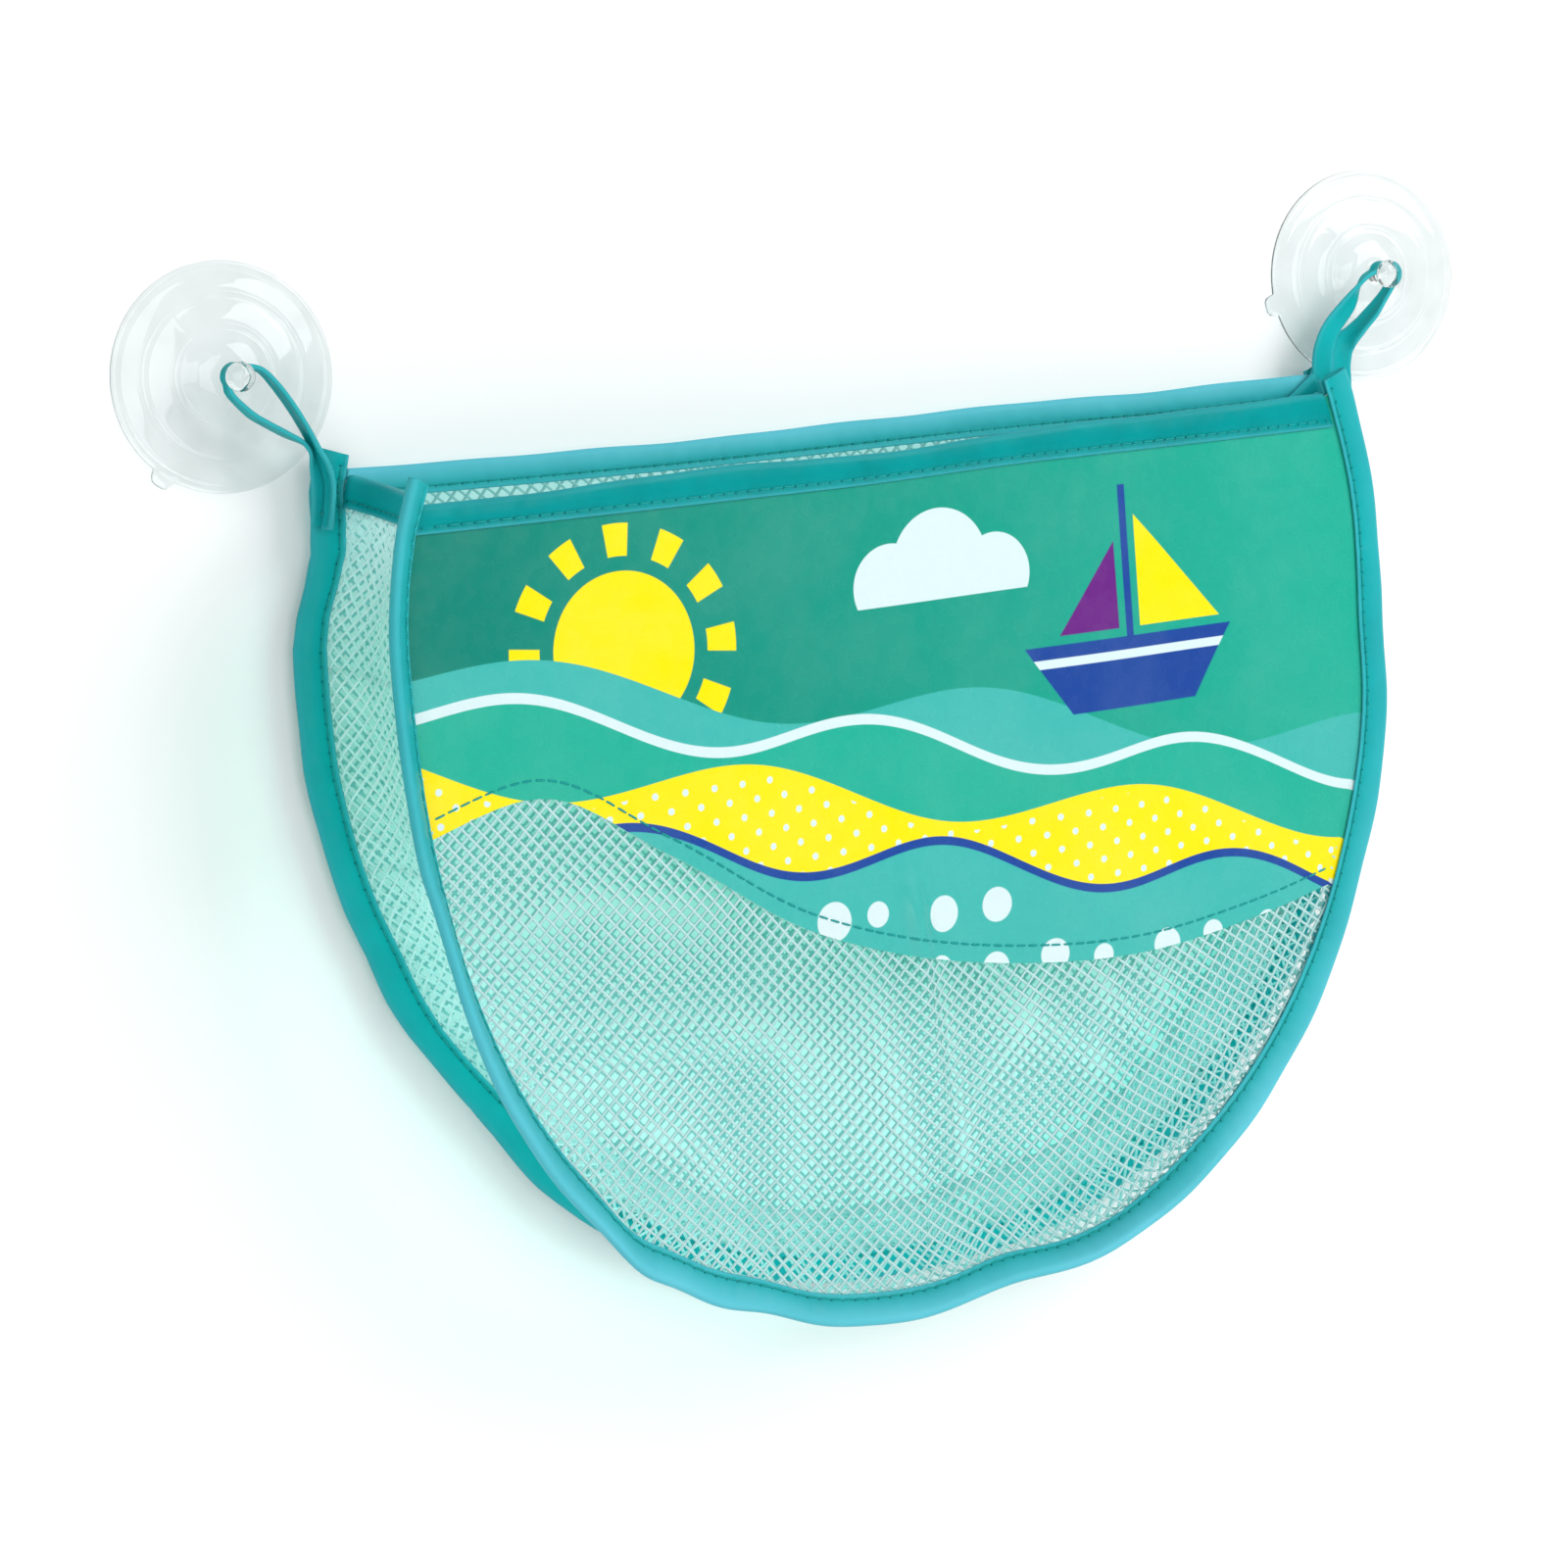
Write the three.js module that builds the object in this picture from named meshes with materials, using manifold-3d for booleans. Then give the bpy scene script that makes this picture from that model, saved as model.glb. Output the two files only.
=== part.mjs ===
import * as THREE from 'three';
import { mergeVertices } from 'three/addons/utils/BufferGeometryUtils.js';
import Module from 'manifold-3d';

const wasm = await Module();
wasm.setup();

// Hanging net bag for bath toys, in millimetres, +Z up.
// The wall is the plane y = 0 and the bag hangs in front of it, towards -Y.
// The origin lies on the wall, midway between the two suction cups.

// Clearances between sewn layers and between touching pieces
const GAP = 0.3;
const STRAP_GAP = 0.6;
const LEG_GAP = 0.5;

// Sheet goods
const NET_THICKNESS = 0.8;
const TAPE_THICKNESS = 0.7;
const THREAD = 0.8;

// Suction cups
const CUP_RADIUS = 37.5;
const CUP_LAND = 6;
const CUP_HOLLOW = 2.5;
const RIM_HEIGHT = 2.4;
const RIM_BEAD = 2.6;
const RIM_ROUND = 0.6;
const WEB_HEIGHT = 1.9;
const OUTER_RING_RADIUS = 27;
const OUTER_RING_HEIGHT = 4;
const INNER_RING_RADIUS = 16.7;
const INNER_RING_HEIGHT = 6.1;
const RING_WIDTH = 1.4;
const RING_STEP = 0.5;
const COLLAR_RADIUS = 6.5;
const DOME_HEIGHT = 9.2;
const NECK_RADIUS = 3.5;
const NECK_LENGTH = 8.8;
const NECK_FILLET = 0.6;
const HEAD_RADIUS = 5;
const HEAD_HEIGHT = 4.7;
const HEAD_ROUND = 0.95;
const TAB_WIDTH = 9;
const TAB_REACH = 4;
const TAB_ROOT = 3;
const TAB_THICKNESS = 1.5;
const TAB_SEAT = 0.3;
const LEFT_TAB_ANGLE = 233;
const RIGHT_TAB_ANGLE = 195;

// Panels: seam to seam, with the top edge at v = 0
const PANEL_TOP_WIDTH = 360;
const PANEL_WIDTH = 378;
const PANEL_HEIGHT = 283;
const SHOULDER_DROP = 52;
const OUTLINE_POWER = 2.25;

// How the bag hangs: the cups stand outboard of the top corners, the bag below them
const CUP_OUTBOARD = 35;
const BAG_DROP = 32.5;
const WALL_CLEARANCE = 6;
const FRONT_DROP = 8.5;
const FRONT_SHIFT = 1;

// Bag depth: the left side is open, the right side is folded in
const DEPTH_LEFT = 60;
const DEPTH_BOTTOM = 34;
const FOLD_WIDTH = 7.6;
const GUSSET_SLACK = 4;
const GUSSET_SEAM_OUT = 0.9;
const FOLD_POWER = 3;

// Folded edge bindings, a flange along each seam: nearly flat at the wall, slanted in front
const EDGE_BINDING_WIDTH = 11;
const EDGE_BINDING_START = 1.5;
const EDGE_BINDING_ROUND = 0.8;
const EDGE_BINDING_STANDUP = 4;
const BACK_FLANGE_ANGLE = THREE.MathUtils.degToRad(10);
const FRONT_FLANGE_ANGLE = THREE.MathUtils.degToRad(45);
const EDGE_STITCH_INSET = 2;
const LIP_ROOT = 1;

// Folded top bindings
const TOP_BINDING_HEIGHT = 11;
const TOP_BINDING_ROUND = 0.8;
const TOP_STITCH_INSET = 2.5;
const TOP_THREAD_INSET = 3;

// Printed panel: drops of its wavy hem below the top edge, from the left side to the right one
const HEM_LEFT = 113;
const HEM_CREST = 100;
const HEM_TROUGH = 183;
const HEM_RIGHT = 165;
const HEM_OVERLAP = 12;
const HEM_STITCH_INSET = 6;
const HEM_CLEARANCE = 3;

// Nets: diagonal cells, drawn coarse
const NET_PITCH = 36;
const NET_STRAND = 6;
const NET_MARGIN = 9;
const GUSSET_GAP_SPAN = 2;
const GUSSET_GAP_SHARE = 0.16;

// Hanging loops
const STRAP_THICKNESS = 1.4;
const TAIL_LENGTH = 22;
const TAIL_INSET = 3.4;
const TAIL_RISE = 2;
const TACK_DROP = 14;
const TACK_INSET = 1;

// Facet counts
const CUP_SEGMENTS = 24;
const SEAM_STATIONS = 44;
const GUSSET_STEPS = 8;
const HEM_STEPS = 24;
const LOOP_STEPS = 44;
const ARC_STEPS = 6;

// Values that follow from the sizes above
const HALF_TOP = PANEL_TOP_WIDTH / 2;
const HALF_WIDTH = PANEL_WIDTH / 2;
const CUP_X = HALF_TOP + CUP_OUTBOARD;
const LIP_OFFSET = (NET_THICKNESS + GAP) / 2;
const EDGE_SLOT = NET_THICKNESS + 1.5 * GAP;
const EDGE_HALF = EDGE_SLOT + TAPE_THICKNESS;
const EDGE_TIP = EDGE_BINDING_START + EDGE_BINDING_WIDTH;
const LIP_TIP = EDGE_TIP - TAPE_THICKNESS - GAP;
const TOP_SLOT = NET_THICKNESS / 2 + GAP;
const TOP_HALF = TOP_SLOT + TAPE_THICKNESS;
const SHEET_TOP = TAPE_THICKNESS + GAP;
const BACK_FLANGE_REACH = EDGE_TIP * Math.sin(BACK_FLANGE_ANGLE) + EDGE_HALF * Math.cos(BACK_FLANGE_ANGLE);
const BACK_STANDOFF = WALL_CLEARANCE + BACK_FLANGE_REACH;
const LEAF_OFFSET = 2 * TOP_HALF + THREAD + 2 * GAP;
const DEPTH_RIGHT = FOLD_WIDTH + 2 * LEAF_OFFSET;
const GUSSET_WIDTH = DEPTH_LEFT + GUSSET_SLACK;
const NECK_Y = -(DOME_HEIGHT + NECK_LENGTH / 2);
const STRAP_WIDTH = NECK_LENGTH - 2 * GAP;
const NET_SETBACK = NET_THICKNESS + GAP;

// Colours and finishes
const FINISH = {
  clear: { color: 0xe6f0f0, roughness: 0.08 },
  net: { color: 0xb9e3da, roughness: 0.6 },
  binding: { color: 0x00b2ae, roughness: 0.35 },
  print: { color: 0x3cb8b0, roughness: 0.25 },
  thread: { color: 0x0a8f8a, roughness: 0.7 },
};

function piece(name, geometry, finish) {
  const material = new THREE.MeshStandardMaterial({ ...FINISH[finish], metalness: 0 });
  const mesh = new THREE.Mesh(geometry, material);
  mesh.name = name;
  return mesh;
}

// Geometry helpers

function indexedGeometry(points, triangles) {
  const geometry = new THREE.BufferGeometry();
  const flat = points.flatMap((point) => [point.x, point.y, point.z]);
  geometry.setAttribute('position', new THREE.Float32BufferAttribute(flat, 3));
  geometry.setIndex(triangles);
  return facingOut(geometry);
}

function signedVolume(geometry) {
  const position = geometry.getAttribute('position');
  const index = geometry.getIndex();
  const corner = [new THREE.Vector3(), new THREE.Vector3(), new THREE.Vector3()];
  let total = 0;
  for (let i = 0; i < index.count; i += 3) {
    corner.forEach((point, k) => point.fromBufferAttribute(position, index.getX(i + k)));
    total += corner[0].dot(corner[1].clone().cross(corner[2])) / 6;
  }
  return total;
}

function facingOut(geometry) {
  if (signedVolume(geometry) < 0) {
    const flipped = Array.from(geometry.getIndex().array).reverse();
    geometry.setIndex(flipped);
  }
  return geometry;
}

function welded(geometry) {
  const bare = geometry.clone();
  bare.deleteAttribute('normal');
  bare.deleteAttribute('uv');
  const merged = mergeVertices(bare, 1e-4);
  const index = merged.getIndex().array;
  const kept = [];
  for (let i = 0; i < index.length; i += 3) {
    const [a, b, c] = [index[i], index[i + 1], index[i + 2]];
    if (a !== b && b !== c && c !== a) kept.push(a, b, c);
  }
  merged.setIndex(kept);
  return facingOut(merged);
}

function toSolid(geometry) {
  const mesh = welded(geometry);
  return new wasm.Manifold(new wasm.Mesh({
    numProp: 3,
    vertProperties: new Float32Array(mesh.getAttribute('position').array),
    triVerts: new Uint32Array(mesh.getIndex().array),
  }));
}

function joined(geometries) {
  const solid = geometries.map(toSolid).reduce((sum, next) => sum.add(next));
  const mesh = solid.getMesh();
  const geometry = new THREE.BufferGeometry();
  geometry.setAttribute('position', new THREE.BufferAttribute(new Float32Array(mesh.vertProperties), 3));
  geometry.setIndex(Array.from(mesh.triVerts));
  return geometry;
}

// A closed body through equal rings of points; the section gives the shape of its end caps.
function loft(rings, section) {
  const count = section.length;
  const triangles = [];
  for (let i = 0; i + 1 < rings.length; i += 1) {
    for (let j = 0; j < count; j += 1) {
      const k = (j + 1) % count;
      const [a, b] = [i * count + j, i * count + k];
      const [c, d] = [a + count, b + count];
      triangles.push(a, b, d, a, d, c);
    }
  }
  const outline = section.map(([x, y]) => new THREE.Vector2(x, y));
  const clockwise = THREE.ShapeUtils.isClockWise(outline);
  const last = (rings.length - 1) * count;
  for (const [a, b, c] of THREE.ShapeUtils.triangulateShape(outline, [])) {
    const [second, third] = clockwise ? [c, b] : [b, c];
    triangles.push(a, third, second);
    triangles.push(last + a, last + second, last + third);
  }
  return indexedGeometry(rings.flat(), triangles);
}

function squareSection(size) {
  const half = size / 2;
  return [[-half, -half], [half, -half], [half, half], [-half, half]];
}

// A folded tape seen end on: open at its free edges, rounded at its fold.
function foldedSection(free, fold, slot, half, round) {
  const turn = Math.sign(fold - free);
  const inner = fold - turn * TAPE_THICKNESS;
  return [[free, -half], [free, -slot], [inner, -slot], [inner, slot], [free, slot], [free, half],
    [fold - turn * round, half], [fold, half - round], [fold, round - half], [fold - turn * round, -half]];
}

function bisected(test, low, high) {
  let [near, far] = [low, high];
  for (let i = 0; i < 50; i += 1) {
    const middle = (near + far) / 2;
    if (test(middle)) near = middle;
    else far = middle;
  }
  return (near + far) / 2;
}

// Panel outline: flared sides above a rounded bottom, from the left top corner to the right one

function shoulderHalfWidth(drop) {
  const share = 1 - drop / SHOULDER_DROP;
  return HALF_WIDTH - (HALF_WIDTH - HALF_TOP) * share * share;
}

function bottomPoint(degrees) {
  const angle = THREE.MathUtils.degToRad(degrees);
  const power = 2 / OUTLINE_POWER;
  const across = Math.sign(Math.cos(angle)) * Math.abs(Math.cos(angle)) ** power;
  const down = Math.sin(angle) ** power;
  return new THREE.Vector2(-HALF_WIDTH * across, -SHOULDER_DROP - (PANEL_HEIGHT - SHOULDER_DROP) * down);
}

function seamPoints() {
  const sideDrops = [0, SHOULDER_DROP / 2];
  const left = sideDrops.map((drop) => new THREE.Vector2(-shoulderHalfWidth(drop), -drop));
  const bottom = [0, 15, 30, 45, 60, 75, 90, 105, 120, 135, 150, 165, 180].map(bottomPoint);
  const right = left.map((point) => new THREE.Vector2(-point.x, point.y)).reverse();
  return [...left, ...bottom, ...right];
}

const seamCurve = new THREE.SplineCurve(seamPoints());
seamCurve.arcLengthDivisions = 600;
const seamLength = seamCurve.getLength();

// The hem falls from its crest to its trough; each point is at a share of the half width
const hemFall = (share) => THREE.MathUtils.lerp(HEM_CREST, HEM_TROUGH, share);
const hemPoints = [[-1.06, HEM_LEFT], [-0.77, HEM_CREST], [-0.53, hemFall(0.29)], [-0.24, hemFall(0.69)],
  [0.09, hemFall(0.92)], [0.43, HEM_TROUGH], [0.71, hemFall(0.94)], [1.06, HEM_RIGHT]]
  .map(([share, drop]) => new THREE.Vector2(share * HALF_WIDTH, -drop));
const hemCurve = new THREE.SplineCurve(hemPoints);

function hemHeight(u) {
  return hemCurve.getPoint(bisected((t) => hemCurve.getPoint(t).x < u, 0, 1)).y;
}

// Share of the seam, from the left top corner, at a drop below the top edge
function shareAtDrop(drop) {
  return bisected((share) => seamCurve.getPointAt(share).y > -drop, 0, 0.3);
}

// Shares of the seam where a line at a height above the hem meets its left and right sides
function sharesAtHem(raise) {
  const above = (share) => {
    const point = seamCurve.getPointAt(share);
    return point.y > hemHeight(point.x) + raise;
  };
  return [bisected(above, 0, 0.5), bisected((share) => !above(share), 0.5, 1)];
}

function station(share) {
  const point = seamCurve.getPointAt(share);
  const tangent = seamCurve.getTangentAt(share);
  return { share, point, normal: new THREE.Vector2(tangent.y, -tangent.x), tangent };
}

// Every piece along the seam uses the same stations, so that sewn layers stay parallel.
const topShare = shareAtDrop(SHEET_TOP);
const boundShare = shareAtDrop(TOP_BINDING_HEIGHT);
const [hemLeft, hemRight] = sharesAtHem(0);
const hemStep = HEM_CLEARANCE / 2 / seamLength;
const fixedShares = [0, topShare, boundShare, hemLeft - hemStep, hemLeft + hemStep,
  hemRight - hemStep, hemRight + hemStep, 1 - boundShare, 1 - topShare, 1];
const evenShares = Array.from({ length: SEAM_STATIONS }, (_, i) => i / SEAM_STATIONS)
  .filter((share) => fixedShares.every((fixed) => Math.abs(fixed - share) * SEAM_STATIONS > 0.4));
const stations = [...fixedShares, ...evenShares].sort((a, b) => a - b).map(station);

function stationsBetween(low, high) {
  const slack = hemStep / 10;
  return stations.filter(({ share }) => share > low - slack && share < high + slack);
}

function raised({ point, normal, tangent }, distance) {
  return { point: point.clone().addScaledVector(tangent, distance), normal, tangent };
}

// Seam coordinates: a runs outwards in the panel, b out of the bag; p runs along the flange, q across it
const BACK = 1;
const FRONT = -1;

function flange(side, p, q) {
  const angle = side === BACK ? BACK_FLANGE_ANGLE : FRONT_FLANGE_ANGLE;
  const [cos, sin] = [Math.cos(angle), Math.sin(angle)];
  return [p * cos - q * sin, p * sin + q * cos];
}

function panelPoint({ point, normal }, [a, b], side) {
  return new THREE.Vector3(point.x + a * normal.x, side * b, point.y + a * normal.y);
}

function sweptAlongSeam(places, side, section) {
  return loft(places.map((place) => section.map((ab) => panelPoint(place, ab, side))), section);
}

function edgeBinding(side) {
  const section = foldedSection(EDGE_BINDING_START, EDGE_TIP, EDGE_SLOT, EDGE_HALF, EDGE_BINDING_ROUND)
    .map(([p, q]) => flange(side, p, q));
  const first = raised(stations[0], -EDGE_BINDING_STANDUP);
  const last = raised(stations[stations.length - 1], EDGE_BINDING_STANDUP);
  return sweptAlongSeam([first, ...stations, last], side, section);
}

function edgeThread(side) {
  const p = EDGE_BINDING_START + EDGE_STITCH_INSET;
  const q = EDGE_HALF + GAP + THREAD / 2;
  const section = squareSection(THREAD).map(([dp, dq]) => flange(side, p + dp, q + dq));
  return sweptAlongSeam(stations, side, section);
}

// The turned-out edge of a sheet, which the edge binding closes over
function lip(places, side, setback) {
  const angle = side === BACK ? BACK_FLANGE_ANGLE : FRONT_FLANGE_ANGLE;
  const start = (-setback - LIP_OFFSET * Math.cos(angle)) / Math.sin(angle);
  const [low, high] = [GAP / 2, GAP / 2 + NET_THICKNESS];
  const corners = [[start, low], [LIP_TIP, low], [LIP_TIP, high], [start, high]];
  const section = corners.map(([p, q]) => flange(side, p, q));
  return sweptAlongSeam(places, side, section);
}

function flatSheet(outline, holes, side, setback) {
  const shape = new THREE.Shape(outline);
  shape.holes = holes.map((hole) => new THREE.Path(hole));
  const sheet = new THREE.ExtrudeGeometry(shape, { depth: NET_THICKNESS, bevelEnabled: false });
  sheet.rotateX(Math.PI / 2);
  sheet.translate(0, NET_THICKNESS / 2 - side * setback, 0);
  return sheet;
}

// Nets

function insideBy(outline, point, margin) {
  let inside = false;
  let nearest = Infinity;
  outline.forEach((from, i) => {
    const to = outline[(i + 1) % outline.length];
    if ((from.y > point.y) !== (to.y > point.y)) {
      const cross = from.x + ((point.y - from.y) * (to.x - from.x)) / (to.y - from.y);
      if (point.x < cross) inside = !inside;
    }
    const along = to.clone().sub(from);
    const t = THREE.MathUtils.clamp(point.clone().sub(from).dot(along) / along.lengthSq(), 0, 1);
    nearest = Math.min(nearest, from.clone().addScaledVector(along, t).distanceTo(point));
  });
  return inside && nearest >= margin;
}

function netGaps(outline, allowed) {
  const step = NET_PITCH / 2;
  const reach = step - NET_STRAND * Math.SQRT1_2;
  const columns = Math.ceil(HALF_WIDTH / step);
  const rows = Math.ceil(PANEL_HEIGHT / step);
  const gaps = [];
  for (let row = 0; row <= rows; row += 1) {
    for (let column = -columns; column <= columns; column += 1) {
      const corners = [[reach, 0], [0, reach], [-reach, 0], [0, -reach]]
        .map(([du, dv]) => new THREE.Vector2(column * step + du, dv - row * step));
      const fits = corners.every((corner) => insideBy(outline, corner, NET_MARGIN) && allowed(corner));
      if ((row + column) % 2 === 0 && fits) gaps.push(corners);
    }
  }
  return gaps;
}

function seamOutline(low, high) {
  return stationsBetween(low, high).map(({ point }) => point);
}

function backNet() {
  const outline = seamOutline(topShare, 1 - topShare);
  const gaps = netGaps(outline, (corner) => corner.y < -TOP_BINDING_HEIGHT - NET_STRAND);
  const edge = lip(stationsBetween(topShare, 1 - topShare), BACK, 0);
  return joined([flatSheet(outline, gaps, BACK, 0), edge]);
}

function hemLine(raise, left, right) {
  return Array.from({ length: HEM_STEPS + 1 }, (_, i) => {
    const u = THREE.MathUtils.lerp(left, right, i / HEM_STEPS);
    return new THREE.Vector2(u, hemHeight(u) + raise);
  });
}

function frontNet() {
  const [left, right] = sharesAtHem(HEM_OVERLAP);
  const [leftEnd, rightEnd] = [left, right].map((share) => seamCurve.getPointAt(share));
  const upper = hemLine(HEM_OVERLAP, leftEnd.x, rightEnd.x);
  const outline = [...upper.reverse(), ...seamOutline(left + hemStep, right - hemStep)];
  const gaps = netGaps(outline, (corner) => corner.y < hemHeight(corner.x) - NET_STRAND);
  const edge = lip(stationsBetween(hemLeft + hemStep, hemRight - hemStep), FRONT, NET_SETBACK);
  return joined([flatSheet(outline, gaps, FRONT, NET_SETBACK), edge]);
}

function printPanel() {
  const [leftEnd, rightEnd] = [hemLeft, hemRight].map((share) => seamCurve.getPointAt(share));
  const leftSide = seamOutline(topShare, hemLeft - hemStep);
  const rightSide = seamOutline(hemRight + hemStep, 1 - topShare);
  const sheet = flatSheet([...leftSide, ...hemLine(0, leftEnd.x, rightEnd.x), ...rightSide], [], FRONT, 0);
  const leftLip = lip(stationsBetween(topShare, hemLeft - hemStep), FRONT, 0);
  const rightLip = lip(stationsBetween(hemRight + hemStep, 1 - topShare), FRONT, 0);
  return joined([sheet, leftLip, rightLip]);
}

function hemThread() {
  const [leftEnd, rightEnd] = sharesAtHem(HEM_STITCH_INSET).map((share) => seamCurve.getPointAt(share));
  const inset = EDGE_BINDING_START + THREAD;
  const line = hemLine(HEM_STITCH_INSET, leftEnd.x + inset, rightEnd.x - inset);
  const y = -(NET_THICKNESS / 2 + GAP + THREAD / 2);
  const rings = line.map((point) => squareSection(THREAD)
    .map(([dv, dy]) => new THREE.Vector3(point.x, y + dy, point.y + dv)));
  return loft(rings, squareSection(THREAD));
}

// Straight top bindings

function topBinding() {
  const half = HALF_TOP - LIP_OFFSET - 2 * GAP - NET_THICKNESS;
  const section = foldedSection(-TOP_BINDING_HEIGHT, 0, TOP_SLOT, TOP_HALF, TOP_BINDING_ROUND);
  const rings = [-half, half].map((x) => section.map(([z, y]) => new THREE.Vector3(x, y, z)));
  return loft(rings, section);
}

function topThread(side) {
  const length = PANEL_TOP_WIDTH - 2 * TOP_THREAD_INSET;
  const bar = new THREE.BoxGeometry(length, THREAD, THREAD);
  bar.translate(0, side * (TOP_HALF + GAP + THREAD / 2), TOP_STITCH_INSET - TOP_BINDING_HEIGHT);
  return bar;
}

// Where the two panels hang

const backPanel = new THREE.Group();
backPanel.position.set(0, -BACK_STANDOFF, -BAG_DROP);
const frontPanel = new THREE.Group();
const depthMiddle = (DEPTH_LEFT + DEPTH_RIGHT) / 2;
frontPanel.position.set(FRONT_SHIFT, -BACK_STANDOFF - depthMiddle, -BAG_DROP - FRONT_DROP);
frontPanel.rotation.order = 'ZXY';
frontPanel.rotation.z = Math.asin((DEPTH_LEFT - DEPTH_RIGHT) / PANEL_TOP_WIDTH);
frontPanel.rotation.x = Math.asin((depthMiddle - DEPTH_BOTTOM) / PANEL_HEIGHT);
backPanel.updateMatrix();
frontPanel.updateMatrix();

// Gusset: one strip of constant width; where the panels stand close it folds into the bag

const foldSteps = Array.from({ length: GUSSET_STEPS + 1 }, (_, k) => {
  return (1 - Math.cos((Math.PI * k) / GUSSET_STEPS)) / 2;
});

function foldShare(t) {
  return 1 - Math.abs(2 * t - 1) ** FOLD_POWER;
}

function foldDepth(chord) {
  const wanted = GUSSET_WIDTH - 2 * LEAF_OFFSET;
  const lengthAt = (depth) => foldSteps.slice(1).reduce((sum, t, k) => {
    const from = foldSteps[k];
    return sum + Math.hypot(chord * (t - from), depth * (foldShare(t) - foldShare(from)));
  }, 0);
  return bisected((depth) => lengthAt(depth) < wanted, 0, GUSSET_WIDTH);
}

function seamPointOn(panel, place, ab, side) {
  return panelPoint(place, ab, side).applyMatrix4(panel.matrix);
}

// The strip's line from the back seam to the front seam at one station
function foldLine(place) {
  const leaf = [GUSSET_SEAM_OUT, -LEAF_OFFSET];
  const back = seamPointOn(backPanel, place, leaf, BACK);
  const front = seamPointOn(frontPanel, place, leaf, FRONT);
  const inward = new THREE.Vector3(-place.normal.x, 0, -place.normal.y);
  const depth = foldDepth(back.distanceTo(front));
  return foldSteps.map((t) => back.clone().lerp(front, t).addScaledVector(inward, depth * foldShare(t)));
}

function gussetLine(place) {
  const turned = (panel, side) => [LIP_TIP, LIP_ROOT]
    .map((p) => seamPointOn(panel, place, flange(side, p, -LIP_OFFSET), side));
  const back = turned(backPanel, BACK);
  const front = turned(frontPanel, FRONT);
  return [...back, ...foldLine(place), ...front.reverse()];
}

function gridNormal(grid, i, j) {
  const rows = grid.length - 1;
  const columns = grid[0].length - 1;
  const along = grid[Math.min(i + 1, rows)][j].clone().sub(grid[Math.max(i - 1, 0)][j]);
  const before = grid[i][j].clone().sub(grid[i][Math.max(j - 1, 0)]).normalize();
  const after = grid[i][Math.min(j + 1, columns)].clone().sub(grid[i][j]).normalize();
  return along.cross(before.add(after)).normalize();
}

// A thin sheet over a grid of points, with a diamond opening in each cell that has a gap
function gridSheet(grid, thickness, hasGap) {
  const rows = grid.length;
  const columns = grid[0].length;
  const points = [];
  const triangles = [];
  for (const half of [thickness / 2, -thickness / 2]) {
    grid.forEach((line, i) => line.forEach((point, j) => {
      points.push(point.clone().addScaledVector(gridNormal(grid, i, j), half));
    }));
  }
  const count = rows * columns;
  const quad = (a, b, c, d) => triangles.push(a, b, c, a, c, d);
  const middleOf = (a, b, centre) => {
    const edge = points[a].clone().add(points[b]).multiplyScalar(0.5);
    points.push(edge.lerp(centre, GUSSET_GAP_SHARE * 2));
    return points.length - 1;
  };
  const openFace = (corners) => {
    const centre = corners.reduce((sum, k) => sum.add(points[k]), new THREE.Vector3()).multiplyScalar(0.25);
    const inner = corners.map((k, n) => middleOf(k, corners[(n + 1) % 4], centre));
    corners.forEach((k, n) => {
      triangles.push(k, corners[(n + 1) % 4], inner[n]);
      triangles.push(k, inner[n], inner[(n + 3) % 4]);
    });
    return inner;
  };
  for (let i = 0; i + 1 < rows; i += 1) {
    for (let j = 0; j + 1 < columns; j += 1) {
      const top = [i * columns + j, (i + 1) * columns + j, (i + 1) * columns + j + 1, i * columns + j + 1];
      const bottom = [top[0], top[3], top[2], top[1]].map((k) => k + count);
      if (hasGap(i, j)) {
        const upper = openFace(top);
        const lower = openFace(bottom);
        const below = [lower[3], lower[2], lower[1], lower[0]];
        upper.forEach((k, n) => quad(k, upper[(n + 1) % 4], below[(n + 1) % 4], below[n]));
      } else {
        quad(...top);
        quad(...bottom);
      }
    }
  }
  const rim = [];
  for (let i = 0; i < rows - 1; i += 1) rim.push(i * columns);
  for (let j = 0; j < columns - 1; j += 1) rim.push((rows - 1) * columns + j);
  for (let i = rows - 1; i > 0; i -= 1) rim.push(i * columns + columns - 1);
  for (let j = columns - 1; j > 0; j -= 1) rim.push(j);
  rim.forEach((k, n) => {
    const next = rim[(n + 1) % rim.length];
    quad(next, k, k + count, next + count);
  });
  return indexedGeometry(points, triangles);
}

function gussetNet() {
  const places = stationsBetween(topShare, 1 - topShare);
  const grid = places.map(gussetLine);
  const flanks = [4, grid[0].length - 6];
  const bound = 2;
  const hasGap = (i, j) => flanks.includes(j) && i >= bound && i < places.length - 1 - bound
    && i % GUSSET_GAP_SPAN === 0;
  return gridSheet(grid, NET_THICKNESS, hasGap);
}

// The gusset's own top edge: its fold line with the direction down the strip and the normal to it
function gussetTop(top, lower) {
  const line = foldLine(top);
  const below = foldLine(lower);
  const trim = NET_THICKNESS + 2 * GAP;
  const last = line.length - 1;
  const frames = line.map((point, k) => {
    const before = point.clone().sub(line[Math.max(k - 1, 0)]).normalize();
    const tangent = line[Math.min(k + 1, last)].clone().sub(point).normalize().add(before);
    const down = below[k].clone().sub(point).normalize();
    return { point, down, normal: down.clone().cross(tangent).normalize() };
  });
  const pulled = (from, towards) => {
    const step = towards.clone().sub(from);
    return from.clone().addScaledVector(step.normalize(), trim);
  };
  frames[0].point = pulled(line[0], line[1]);
  frames[last].point = pulled(line[last], line[last - 1]);
  return frames;
}

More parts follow.
